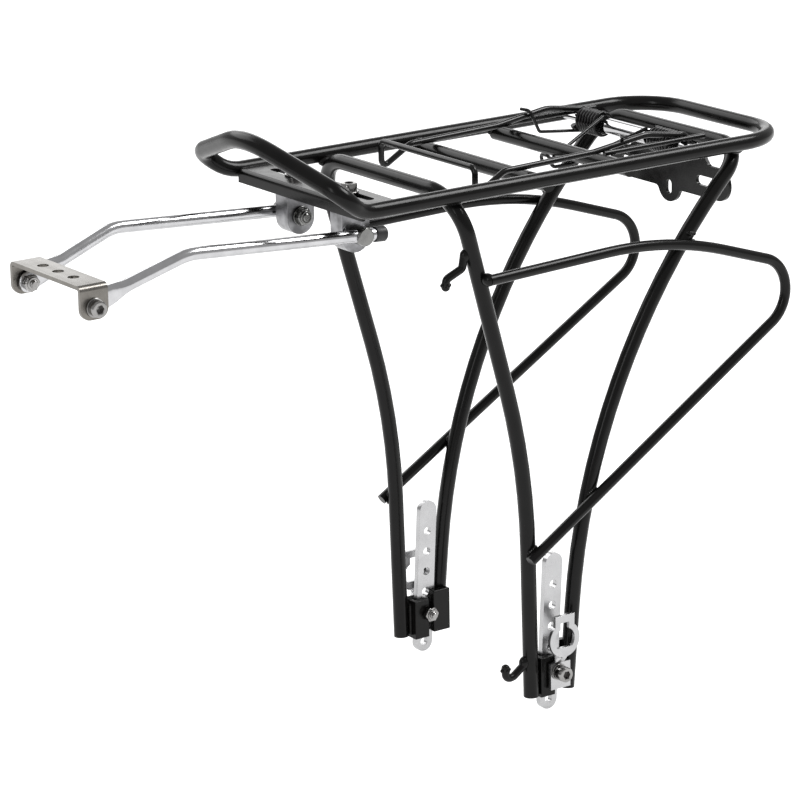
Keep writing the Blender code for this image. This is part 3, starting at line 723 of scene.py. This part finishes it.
def drive(made, noise, socket, low, high, lows=0.35, highs=0.65):
    """Maps a noise to a plain value on a shader socket."""
    nodes = made.node_tree.nodes
    links = made.node_tree.links
    spread = nodes.new("ShaderNodeMapRange")
    spread.inputs["From Min"].default_value = lows
    spread.inputs["From Max"].default_value = highs
    spread.inputs["To Min"].default_value = low
    spread.inputs["To Max"].default_value = high
    links.new(noise.outputs["Fac"], spread.inputs["Value"])
    links.new(spread.outputs["Result"], nodes["Principled BSDF"].inputs[socket])


def tint(made, noise, dark, light):
    nodes = made.node_tree.nodes
    links = made.node_tree.links
    ramp = nodes.new("ShaderNodeValToRGB")
    ramp.color_ramp.elements[0].position = 0.35
    ramp.color_ramp.elements[0].color = (*dark, 1)
    ramp.color_ramp.elements[1].position = 0.65
    ramp.color_ramp.elements[1].color = (*light, 1)
    links.new(noise.outputs["Fac"], ramp.inputs["Fac"])
    links.new(ramp.outputs["Color"], nodes["Principled BSDF"].inputs["Base Color"])


def emboss(made, noise, distance, strength):
    nodes = made.node_tree.nodes
    links = made.node_tree.links
    bump = nodes.new("ShaderNodeBump")
    bump.inputs["Distance"].default_value = distance
    bump.inputs["Strength"].default_value = strength
    links.new(noise.outputs["Fac"], bump.inputs["Height"])
    links.new(bump.outputs["Normal"], nodes["Principled BSDF"].inputs["Normal"])


def black_paint():
    """Powder coat: near-black with a soft gloss and a fine orange peel."""
    made = shader_material("black_paint", specular_ior_level=0.18)
    tint(made, noise_node(made, scale=60), dark=(0.0026, 0.0025, 0.0024), light=(0.0046, 0.0044, 0.0042))
    drive(made, noise_node(made, scale=160, detail=2), "Roughness", low=0.19, high=0.25)
    emboss(made, noise_node(made, scale=420, detail=2), distance=0.00002, strength=0.12)
    return made


def black_wire():
    """The clip's and the spring's black finish, glossier than the frame's."""
    made = shader_material("black_wire", specular_ior_level=0.30)
    tint(made, noise_node(made, scale=90), dark=(0.0022, 0.0022, 0.0022), light=(0.0040, 0.0038, 0.0038))
    drive(made, noise_node(made, scale=200, detail=2), "Roughness", low=0.18, high=0.26)
    emboss(made, noise_node(made, scale=500, detail=2), distance=0.00001, strength=0.12)
    return made


def metal(name):
    """A bare or plated metal whose drawn or brushed grain runs along the axis its stretch leaves low."""
    dark, light, rough, grain, stretch = METALS[name]
    made = shader_material(name, metallic=1.0)
    tint(made, noise_node(made, scale=110, detail=4), dark, light)
    lines = noise_node(made, grain, detail=4, stretch=stretch)
    drive(made, lines, "Roughness", *rough)
    emboss(made, lines, distance=0.00001, strength=0.08)
    return made


def black_plastic():
    made = shader_material("black_plastic", specular_ior_level=0.5)
    tint(made, noise_node(made, scale=200), dark=(0.010, 0.010, 0.011), light=(0.018, 0.018, 0.019))
    drive(made, noise_node(made, scale=1200, detail=2), "Roughness", low=0.42, high=0.55)
    emboss(made, noise_node(made, scale=2500, detail=2), distance=0.00002, strength=0.3)
    return made


# --- frame -------------------------------------------------------------------------------------


def build_platform(paint):
    corners = [mirrored(p, 1) for p in PLATFORM_HALF] + [Vector(HOOP_CROWN)]
    corners += [mirrored(p, -1) for p in reversed(PLATFORM_HALF)]
    middle = Vector((REAR_BAR_X, 0, RAIL_Z))
    route = filleted([middle, *corners, middle], PLATFORM_RADII)[:-1]
    fine = resampled([*route, middle], PLATFORM_SPACING)
    radii = []
    for point in fine:
        part = min(1, max(0, (HOOP_START_X - point.x) / HOOP_SWELL_LENGTH))
        radii.append(1 + HOOP_SWELL / TUBE * smooth_step(part))
    loop = tube("platform_tube", fine, TUBE, closed=True, radii=radii)
    show(loop, "frame", paint, ["platform_loop"])
    for name, x in RUNGS.items():
        rung = tube(f"{name}_tube", [(x, -RUNG_REACH, RUNG_Z), (x, RUNG_REACH, RUNG_Z)], TUBE)
        show(rung, "frame", paint, [name])
        for word, side in SIDES:
            weld_bead(f"{name}_weld_{word}", saddle(x, side), RUNG_BEAD, paint)


def saddle(rung_x, side):
    """The line on which a rung meets a rail."""
    route = []
    for x, z in arc(rung_x, RUNG_Z, SADDLE_REACH, *SADDLE_ARC, SADDLE_STEPS):
        drop = min(SADDLE_DROP, abs(z - RAIL_Z))
        y = RAIL_Y - math.sqrt(SADDLE_RAIL**2 - drop**2)
        route.append((x, side * y, z))
    return route


def build_legs(paint):
    for name, (leg, radii) in LEGS.items():
        route = filleted(both_sides(leg), radii, LEG_STEP)
        show(tube(f"{name}_bent_tube", route, TUBE), "frame", paint, [f"{name}_tube"])
        for word, side in SIDES:
            near = [p for p in route if p.y * side > 0]
            touch = min(near, key=lambda p: (p.z - RAIL_Z) ** 2 + (p.y - side * RAIL_Y) ** 2)
            spot = (touch.x, (touch.y + side * RAIL_Y) / 2, (touch.z + RAIL_Z) / 2)
            show(ball(f"{name}_weld_{word}", spot, LEG_WELD), "frame", paint)


def pannier_y(x, z):
    start_x, start_z = PANNIER_ROUTE[0]
    return PANNIER_Y + PANNIER_Y_PER_X * (x - start_x) + PANNIER_Y_PER_Z * (z - start_z)


def build_pannier_hoops(paint):
    for word, side in SIDES:
        points = [(x, side * pannier_y(x, z), z) for x, z in PANNIER_ROUTE]
        hoop = tube(f"pannier_rod_{word}", filleted(points, PANNIER_RADII, PANNIER_STEP), PANNIER_TUBE)
        show(hoop, "frame", paint, [f"pannier_hoop_{word}"])
        x, z = PANNIER_ROUTE[0]
        spot = (x + PANNIER_END_BACK, side * (pannier_y(x, z) - PANNIER_END_INWARD), z)
        show(ball(f"pannier_end_{word}", spot, PANNIER_END), "frame", paint)
        for i, (x, z, slope) in enumerate(PANNIER_WELDS):
            y = side * (pannier_y(x, z) - PANNIER_BEAD_INWARD)
            rise = PANNIER_BEAD_HALF * slope
            for edge, shift in PANNIER_BEADS.items():
                start = (x - PANNIER_BEAD_HALF, y, z - rise + shift)
                end = (x + PANNIER_BEAD_HALF, y, z + rise + shift)
                weld_bead(f"pannier_weld_{word}_{i}_{edge}", [start, end], PANNIER_BEAD, paint)


def build_pegs(paint):
    for name, (route, bends) in PEGS.items():
        points = filleted(route, bends)
        show(tube(f"peg_{name}", points, PEG), "frame", paint, [f"pump_peg_{name}"])
        along = (points[-1] - points[-2]).normalized()
        build_knob(name, points[-1] - along * KNOB_BACK, along, paint)
    for i, spot in enumerate(PEG_WELDS):
        show(ball(f"peg_weld_{i}", spot, PEG_WELD), "frame", paint)


def build_knob(name, at, along, paint):
    """A peg's pinched tip: lumps round a ball that keep a pump from slipping off."""
    first = along.orthogonal().normalized()
    second = along.cross(first)
    tip = ball(f"peg_tip_{name}", at + along * KNOB_TIP, (KNOB, KNOB, KNOB))
    show(tip, "frame", paint)
    for i in range(LUMPS):
        angle = math.radians(45 + 360 / LUMPS * i)
        spot = at + (first * math.cos(angle) + second * math.sin(angle)) * KNOB
        lump = ball(f"peg_lump_{name}_{i}", spot, (LUMP, LUMP, LUMP))
        show(lump, "frame", paint)


def build_stay_mount(paint):
    """The slotted cross plate: a flat strip with its front edge folded down."""
    low = MOUNT_TOP - MOUNT_DROP
    fold = (MOUNT_FRONT + MOUNT_FOLD, MOUNT_TOP - MOUNT_FOLD)
    profile = arc(*fold, MOUNT_FOLD, 180, 90, FOLD_STEPS)
    profile += [(MOUNT_BACK, MOUNT_TOP), (MOUNT_BACK, MOUNT_TOP - MOUNT_THICK)]
    profile += arc(*fold, MOUNT_FOLD - MOUNT_THICK, 90, 180, FOLD_STEPS)
    profile += [(MOUNT_FRONT + MOUNT_THICK, low), (MOUNT_FRONT, low)]
    plate = extruded("cross_plate", [profile], MOUNT_WIDTH, across(0))
    for _, side in SIDES:
        outline = slot_outline(BRACKET_X, side * MOUNT_SLOT_Y, *MOUNT_SLOT)
        cutter = extruded("slot", [outline], THROUGH, Matrix.Translation((0, 0, MOUNT_TOP)))
        plate = cut(plate, cutter)
    show(eased(plate, 0.00035), "frame", paint, ["stay_mount_plate"])
    for word, side in SIDES:
        route = [(x, side * MOUNT_BEAD_Y, MOUNT_BEAD_Z) for x in MOUNT_BEAD_X]
        weld_bead(f"cross_plate_weld_{word}", route, MOUNT_BEAD, paint)


def light_outline():
    """The light bracket's edge, from its right end round by the raised part and back by the lobe."""
    end_y = LIGHT_REACH - LIGHT_END
    neck_z = LIGHT_END + LIGHT_FILLET
    rise_z = LIGHT_RISE - LIGHT_FILLET
    neck = (270, 270 - LIGHT_NECK_TURN)
    rise = (90 - LIGHT_RISE_TURN, 90)
    outline = arc(end_y, 0, LIGHT_END, -90, 90)
    outline += arc(LIGHT_NECK_Y, neck_z, LIGHT_FILLET, *neck, FILLET_STEPS)
    outline += arc(LIGHT_RISE_Y, rise_z, LIGHT_FILLET, *rise, FILLET_STEPS)
    outline += arc(-LIGHT_RISE_Y, rise_z, LIGHT_FILLET, 90, 90 + LIGHT_RISE_TURN, FILLET_STEPS)
    outline += arc(-LIGHT_NECK_Y, neck_z, LIGHT_FILLET, 270 + LIGHT_NECK_TURN, 270, FILLET_STEPS)
    outline += arc(-end_y, 0, LIGHT_END, 90, 270)
    outline += arc(-LOBE_FILLET_Y, -neck_z, LIGHT_FILLET, 90, LOBE_TURN, FILLET_STEPS)
    outline += arc(0, -LOBE_DROP, LOBE, 180 + LOBE_TURN, 360 - LOBE_TURN)
    outline += arc(LOBE_FILLET_Y, -neck_z, LIGHT_FILLET, 180 - LOBE_TURN, 90, FILLET_STEPS)
    return outline


def build_light_bracket(paint):
    holes = [slot_outline(0, -LOBE_SLOT_DROP, *LOBE_SLOT)]
    for _, side in SIDES:
        holes.append([(side * LIGHT_SLOT_Y + y, x) for x, y in slot_outline(0, 0, *LIGHT_SLOT)])
    placing = Matrix.Translation((0, 0, LIGHT_Z)) @ facing(LIGHT_X)
    plate = extruded("light_plate", [light_outline(), *holes], LIGHT_THICK, placing)
    show(eased(plate, 0.0004), "frame", paint, ["light_bracket"])
    for word, side in SIDES:
        route = [(LIGHT_X, side * y, LIGHT_Z + LIGHT_BEAD_RISE) for y in LIGHT_BEAD_Y]
        weld_bead(f"light_plate_weld_{word}", route, LIGHT_BEAD, paint)


# --- stays -------------------------------------------------------------------------------------


def loft(name, stations, count=28):
    """A skin through rings. Each station is (centre, across, along, half-width, half-depth)."""
    vertices = []
    for centre, first, second, a, b in stations:
        for i in range(count):
            angle = 2 * math.pi * i / count
            vertices.append(centre + first * a * math.cos(angle) + second * b * math.sin(angle))
    faces = []
    for ring in range(len(stations) - 1):
        for i in range(count):
            j = (i + 1) % count
            faces.append((ring * count + i, ring * count + j, (ring + 1) * count + j, (ring + 1) * count + i))
    last = (len(stations) - 1) * count
    faces.append(tuple(reversed(range(count))))
    faces.append(tuple(range(last, last + count)))
    mesh = bpy.data.meshes.new(name)
    mesh.from_pydata([tuple(v) for v in vertices], [], faces)
    mesh.shade_smooth()
    mesh.set_sharp_from_angle(angle=math.radians(40))
    return new_object(name, mesh)


def stay_stations(route, eye):
    """A stay's rings: round along the route, then flattened to a tab with a rounded end at the eye."""
    sideways = Vector(ALONG_Y)
    into = (route[-1] - eye).normalized()
    rise = sideways.cross(-into).normalized()
    thin, wide = TAB_HALF
    stations = []
    for i, point in enumerate(route):
        ahead = route[min(i + 1, len(route) - 1)] - route[max(i - 1, 0)]
        stations.append((point, sideways, sideways.cross(ahead).normalized(), STAY_ROD, STAY_ROD))
    for part in TAB_PARTS:
        spot = route[-1].lerp(eye + into * TAB_FROM, part)
        ease = smooth_step(part)
        a = STAY_ROD + (thin - STAY_ROD) * ease
        b = STAY_ROD + (wide - STAY_ROD) * ease
        stations.append((spot, sideways, rise, a, b))
    for angle in range(0, 91, TAB_END_STEP):
        turn = math.radians(angle)
        spot = eye - into * wide * math.sin(turn)
        stations.append((spot, sideways, rise, thin, max(TAB_END_HALF, wide * math.cos(turn))))
    return stations


def build_stays(steel, cap_finish):
    for word, side in SIDES:
        route = filleted([mirrored(p, side) for p in STAY_ROUTE], (STAY_BEND,))
        eye = Vector((BRIDGE_X, side * TAB_Y, BRIDGE_BOLT_Z))
        stay = loft(f"stay_rod_{word}", stay_stations(route, eye))
        show(stay, "stays", steel, [f"stay_{word}"])
        along = (route[0] - route[1]).normalized()
        cap = turned(f"rod_cap_{word}", STAY_CAP, route[0], along)
        show(cap, "stays", cap_finish, [f"stay_cap_{word}"])


def build_brackets(steel, bright):
    low = BRACKET_BOTTOM + BRACKET_HALF
    outline = arc(BRACKET_X, low, BRACKET_HALF, 180, 360, 36)
    outline += [(BRACKET_X + BRACKET_HALF, BRACKET_TOP), (BRACKET_X - BRACKET_HALF, BRACKET_TOP)]
    for word, side in SIDES:
        y = side * BRACKET_Y
        block = extruded(f"bracket_block_{word}", [outline], BRACKET_THICK, across(y))
        show(eased(block, 0.0006, 3), "frame", steel, [f"stay_bracket_{word}"])
        seat = (BRACKET_X, y, SEAT_Z)
        ring = washer(f"seat_washer_{word}", seat, UP, WASHER_HOLE, SEAT_WASHER, SEAT_WASHER_THICK)
        show(ring, "frame", bright, [f"bracket_washer_{word}"])
        seat = (BRACKET_X, y, SEAT_Z + SEAT_WASHER_THICK)
        screw = socket_screw(f"seat_screw_{word}", seat, UP, SEAT_SCREW_LENGTH)
        show(screw, "frame", bright, [f"bracket_screw_{word}"])


def build_eye_bolts(bright):
    profile = [*EYE_HEAD, *threaded(EYE_SHANK, *EYE_THREAD, EYE_THREAD_PITCH)]
    for word, side in SIDES:
        bolt = turned(f"eye_head_{word}", profile, (BRACKET_X, side * EYE_HEAD_Y, EYE_Z), (0, side, 0))
        show(bolt, "eye_bolts", bright, [f"eye_bolt_{word}"])
        inward = (0, -side, 0)
        at = (BRACKET_X, side * EYE_SEAT_Y, EYE_Z)
        ring = washer(f"serrated_washer_{word}", at, inward, *EYE_WASHER)
        show(ring, "eye_bolts", bright, [f"eye_washer_{word}"])
        lock = nut(f"flange_nut_{word}", (BRACKET_X, side * EYE_NUT_Y, EYE_Z), inward, *EYE_NUT)
        show(lock, "eye_bolts", bright, [f"eye_nut_{word}"])


def bridge_section():
    """The bridge's thickness seen along the rack: a strip bent down at both ends."""
    bend_y = BRIDGE_REACH - BRIDGE_BEND
    bend_z = BRIDGE_TOP - BRIDGE_BEND
    inside = BRIDGE_BEND - BRIDGE_THICK
    section = [(-BRIDGE_REACH, EAR_LOW)] + arc(-bend_y, bend_z, BRIDGE_BEND, 180, 90, FOLD_STEPS)
    section += arc(bend_y, bend_z, BRIDGE_BEND, 90, 0, FOLD_STEPS) + [(BRIDGE_REACH, EAR_LOW)]
    section += [(BRIDGE_REACH - BRIDGE_THICK, EAR_LOW)] + arc(bend_y, bend_z, inside, 0, 90, FOLD_STEPS)
    section += arc(-bend_y, bend_z, inside, 90, 180, FOLD_STEPS)
    return section + [(-BRIDGE_REACH + BRIDGE_THICK, EAR_LOW)]


def ear_outline():
    """The rounded ears seen from the side, open above the top."""
    near = BRIDGE_X - BRIDGE_HALF
    far = BRIDGE_X + BRIDGE_HALF
    high = BRIDGE_TOP + 0.002
    outline = arc(near + EAR_CORNER, EAR_LOW + EAR_CORNER, EAR_CORNER, 180, 270, EAR_STEPS)
    outline += arc(far - EAR_CORNER, EAR_LOW + EAR_CORNER, EAR_CORNER, 270, 360, EAR_STEPS)
    return outline + [(far, high), (near, high)]


def build_bridge(steel, bright):
    """The U-shaped bridge: one strip bent down at both ends, each ear rounded, with holes drilled down
    through its top.
    """
    bridge = extruded("bridge", [bridge_section()], 2 * BRIDGE_HALF, facing(BRIDGE_X))
    bridge = cut(bridge, extruded("ears", [ear_outline()], 0.1, across(0)), "INTERSECT")
    for y in BRIDGE_HOLE_Y:
        hole = [circle(BRIDGE_X, y, BRIDGE_HOLE)]
        bridge = cut(bridge, extruded("hole", hole, THROUGH, Matrix.Translation((0, 0, BRIDGE_TOP))))
    show(eased(bridge, 0.0003), "bridge", steel, ["bridge_plate"])
    for word, side in SIDES:
        outward = (0, side, 0)
        seat = (BRIDGE_X, side * EAR_WASHER_Y, BRIDGE_BOLT_Z)
        ring = washer(f"ear_washer_{word}", seat, outward, WASHER_HOLE, SEAT_WASHER, SEAT_WASHER_THICK)
        show(ring, "bridge", bright, [f"bridge_washer_{word}"])
        seat = (BRIDGE_X, side * EAR_SCREW_Y, BRIDGE_BOLT_Z)
        screw = socket_screw(f"ear_screw_{word}", seat, outward, EAR_SCREW_LENGTH)
        show(screw, "bridge", bright, [f"bridge_bolt_{word}"])
        seat = (BRIDGE_X, side * EAR_NUT_Y, BRIDGE_BOLT_Z)
        lock = nut(f"ear_nut_{word}", seat, (0, -side, 0), NUT_HOLE, *EAR_NUT)
        show(lock, "bridge", bright, [f"bridge_nut_{word}"])


# --- feet --------------------------------------------------------------------------------------


def build_strips(steel):
    low = STRIP_HALF - CLAMP_Z / math.cos(STRIP_LEAN)
    outline = arc(0, low, STRIP_HALF, 180, 360, ROUND_STEPS)
    outline += arc(0, low + STRIP_LENGTH, STRIP_HALF, 0, 180, ROUND_STEPS)
    holes = [circle(0, reach, STRIP_HOLE) for reach in STRIP_HOLES]
    lean = Matrix.Rotation(STRIP_LEAN, 4, "Y")
    for word, side in SIDES:
        placing = Matrix.Translation((CLAMP_X, side * STRIP_Y, CLAMP_Z)) @ lean @ across(0)
        strip = extruded(f"drilled_strip_{word}", [outline, *holes], STRIP_THICK, placing)
        show(eased(strip, 0.0004), "frame", steel, [f"dropout_strip_{word}"])


def build_guides(paint):
    """The U-shaped channel on each front leg's foot and the plate on each rear leg's."""
    for word, side in SIDES:
        outline = [(x, side * y) for x, y in GUIDE]
        guide = extruded(f"guide_{word}", [outline], GUIDE_HEIGHT, Matrix.Translation((0, 0, GUIDE_Z)))
        bore = extruded("bore", [circle(CLAMP_X, CLAMP_Z, CLAMP_BORE)], 0.04, across(side * STRIP_Y))
        guide = cut(guide, bore)
        show(eased(guide, 0.0014, 3), "frame", paint, [f"foot_channel_{word}"])
        placing = across(side * BACKING_Y)
        plate = extruded(f"backing_{word}", [box_outline(*BACKING)], BACKING_THICK, placing)
        show(eased(plate, 0.0008, 3), "frame", paint, [f"foot_plate_{word}"])
        for x, y, low, high in GUIDE_WELDS:
            route = [(x, side * y, low), (x, side * y, high)]
            weld_bead(f"guide_weld_{word}_{round(x * 10000)}", route, GUIDE_BEAD, paint)


def spring_washer(name, side):
    """The split washer under a clamp bolt's head: one turn of square wire, its ends apart."""
    inner, outer = SPLIT_WASHER
    thick = SPLIT_WASHER_THICK
    count = SPLIT_WASHER_STEPS
    vertices = []
    for i in range(count + 1):
        part = i / count
        angle = math.radians(SPLIT_WASHER_START + SPLIT_WASHER_TURN * part)
        for radius, lift in ((inner, 0), (outer, 0), (outer, thick), (inner, thick)):
            x = CLAMP_X + radius * math.cos(angle)
            z = CLAMP_Z + radius * math.sin(angle)
            vertices.append((x, side * (SPLIT_WASHER_Y + lift + SPLIT_WASHER_RISE * part), z))
    faces = [(3, 2, 1, 0), tuple(range(4 * count, 4 * count + 4))]
    for i in range(count):
        for j in range(4):
            k = (j + 1) % 4
            faces.append((4 * i + j, 4 * i + k, 4 * i + 4 + k, 4 * i + 4 + j))
    if side > 0:
        faces = [tuple(reversed(face)) for face in faces]
    mesh = bpy.data.meshes.new(name)
    mesh.from_pydata(vertices, [], faces)
    return new_object(name, mesh)


def clamp_outlines():
    """The clamp plate's edge, its ring's keyhole and its bolt's hole, seen from the side."""
    front = list(CLAMP_FRONT) + arc(RING_X, RING_Z, RING, *RING_RIGHT, RING_STEPS)
    front += [(RING_X + shift, CLAMP_HIGH) for shift in RING_TOP]
    front += arc(RING_X, RING_Z, RING, *RING_LEFT, RING_STEPS) + list(CLAMP_REAR)
    keyhole = []
    for start, end in KEYHOLE_ARCS:
        keyhole += arc(RING_X, RING_Z, KEYHOLE, start, end)
    keyhole += [(RING_X + KEYHOLE_HALF, KEYHOLE_TOP), (RING_X - KEYHOLE_HALF, KEYHOLE_TOP)]
    return [front, keyhole, circle(CLAMP_X, CLAMP_Z, CLAMP_BORE)]


def build_clamps(steel, bright):
    """The clamp plate: one blank, joggled outward at its neck, whose ring takes a strap's hook."""
    for word, side in SIDES:
        blank = extruded(f"clamp_{word}", clamp_outlines(), THROUGH, across(side * 0.080))
        bent = extruded("joggle", [JOGGLE], 0.03, facing(0.060, side))
        clamp = cut(blank, bent, "INTERSECT")
        show(eased(clamp, 0.0003), "frame", steel, [f"clamp_plate_{word}"])
        outward = (0, side, 0)
        seat = (CLAMP_X, side * CLAMP_WASHER_Y, CLAMP_Z)
        ring = washer(f"foot_washer_{word}", seat, outward, WASHER_HOLE, CLAMP_WASHER, CLAMP_WASHER_THICK)
        show(ring, "frame", bright, [f"clamp_washer_{word}"])
        coil = spring_washer(f"foot_split_washer_{word}", side)
        show(coil, "frame", bright)
        seat = (CLAMP_X, side * CLAMP_SCREW_Y, CLAMP_Z)
        screw = socket_screw(f"foot_screw_{word}", seat, outward, CLAMP_SCREW_LENGTH)
        show(screw, "frame", bright, [f"clamp_bolt_{word}"])
        seat = (CLAMP_X, side * CLAMP_NUT_Y, CLAMP_Z)
        lock = nut(f"foot_nut_{word}", seat, (0, -side, 0), NUT_HOLE, *CLAMP_NUT)
        show(lock, "frame", bright, [f"clamp_nut_{word}"])


# --- clip --------------------------------------------------------------------------------------


def build_clip(wire, bright):
    turns = arc(AXLE_X, RAIL_Z, CLIP_EYE, *CLIP_EYE_ARC, CLIP_EYE_STEPS)
    eye = [Vector((x, CLIP_EYE_Y, z)) for x, z in turns]
    half = eye[:-1] + filleted([eye[-1], *CLIP_ARM], CLIP_BENDS, CLIP_STEP)[:-1]
    show(tube("bent_clip", both_sides(half), CLIP_WIRE), "clip", wire, ["clip_wire"])
    for word, side in SIDES:
        strut = tube(f"clip_brace_{word}", [mirrored(p, side) for p in STRUT_ENDS], STRUT)
        show(strut, "clip", wire, [f"clip_strut_{word}"])
    middle = (AXLE_X, 0, RAIL_Z)
    axle = turned("axle_rod", [(AXLE, AXLE_HALF), (AXLE, -AXLE_HALF)], middle, ALONG_Y)
    show(axle, "frame", bright, ["clip_axle"])
    bore = AXLE + SLEEVE_GAP
    profile = [
        (SLEEVE - SLEEVE_EDGE, SLEEVE_HALF),
        (SLEEVE, SLEEVE_HALF - SLEEVE_EDGE),
        (SLEEVE, SLEEVE_EDGE - SLEEVE_HALF),
        (SLEEVE - SLEEVE_EDGE, -SLEEVE_HALF),
        (bore, -SLEEVE_HALF),
        (bore, SLEEVE_HALF),
    ]
    sleeve = turned("hub_sleeve", profile, middle, ALONG_Y, closed=True)
    show(sleeve, "frame", bright, ["axle_sleeve"])


def build_springs(wire):
    steps = round(SPRING_TURN_STEPS * SPRING_TURNS)
    turns = arc(AXLE_X, RAIL_Z, SPRING_RADIUS, 90, 90 - 360 * SPRING_TURNS, steps)
    low, high = SPRING_Y
    coil = [Vector((x, low + (high - low) * i / steps, z)) for i, (x, z) in enumerate(turns)]
    coil = coil[:-1] + filleted([coil[-1], *SPRING_LEG], SPRING_LEG_BENDS, SPRING_STEP)
    for word, side in SIDES:
        spring = tube(f"coil_{word}", [mirrored(p, side) for p in coil], SPRING_WIRE, resolution=4)
        show(spring, "clip", wire, [f"spring_{word}"])
    half = filleted(SPRING_LOOP, SPRING_LOOP_BENDS, SPRING_STEP)[:-1]
    loop = tube("middle_loop", both_sides(half), SPRING_LOOP_WIRE, resolution=4)
    show(loop, "frame", wire, ["spring_loop"])


# --- stage -------------------------------------------------------------------------------------


def build_floor():
    far = FLOOR_REACH
    mesh = bpy.data.meshes.new("floor")
    mesh.from_pydata([(-far, -far, 0), (far, -far, 0), (far, far, 0), (-far, far, 0)], [], [(0, 1, 2, 3)])
    floor = new_object("floor", mesh)
    finish = shader_material(
        "floor_white",
        base_color=FLOOR_GREY,
        roughness=0.9,
        specular_ior_level=0.1,
        emission_color=WHITE,
        emission_strength=FLOOR_GLOW,
    )
    mesh.materials.append(finish)


def add_area(name, at, size, power):
    light = bpy.data.lights.new(name, "AREA")
    light.shape = "RECTANGLE"
    light.size = size[0]
    light.size_y = size[1]
    light.energy = power
    lamp = new_object(name, light)
    lamp.location = at
    lamp.rotation_euler = (Vector(LIGHT_AIM) - Vector(at)).to_track_quat("-Z", "Y").to_euler()


def build_light():
    for name, (at, size, power) in LIGHTS.items():
        add_area(name, at, size, power)
    world = bpy.data.worlds.new("studio")
    world.use_nodes = True
    sky = world.node_tree.nodes["Background"]
    sky.inputs["Color"].default_value = WHITE
    sky.inputs["Strength"].default_value = WORLD_STRENGTH
    bpy.context.scene.world = world


def build_camera():
    sideways = Vector((math.cos(CAMERA_YAW), -math.sin(CAMERA_YAW), 0))
    level = Vector((math.sin(CAMERA_YAW), math.cos(CAMERA_YAW), 0))
    ahead = level * math.cos(CAMERA_PITCH) - Vector((0, 0, 1)) * math.sin(CAMERA_PITCH)
    upward = sideways.cross(ahead)
    right = sideways * math.cos(CAMERA_ROLL) + upward * math.sin(CAMERA_ROLL)
    up = upward * math.cos(CAMERA_ROLL) - sideways * math.sin(CAMERA_ROLL)
    camera = new_object("camera", bpy.data.cameras.new("camera"))
    camera.matrix_world = Matrix.Translation(CAMERA_AT) @ Matrix((right, up, -ahead)).transposed().to_4x4()
    camera.data.lens = CAMERA_LENS
    camera.data.sensor_width = CAMERA_SENSOR
    camera.data.clip_end = CAMERA_FAR
    bpy.context.scene.camera = camera


def main():
    paint = black_paint()
    wire = black_wire()
    metals = {name: metal(name) for name in METALS}
    bright = metals["bright_zinc"]
    build_platform(paint)
    build_legs(paint)
    build_pannier_hoops(paint)
    build_pegs(paint)
    build_stay_mount(paint)
    build_light_bracket(paint)
    build_stays(metals["drawn_rod"], black_plastic())
    build_brackets(metals["bracket_zinc"], bright)
    build_eye_bolts(metals["eye_steel"])
    build_bridge(metals["stainless"], bright)
    build_strips(metals["zinc_plate"])
    build_guides(paint)
    build_clamps(metals["zinc_plate"], bright)
    build_clip(wire, metals["bright_tube"])
    build_springs(wire)
    build_floor()
    build_light()
    build_camera()
    bpy.context.scene.view_settings.view_transform = "Standard"


main()
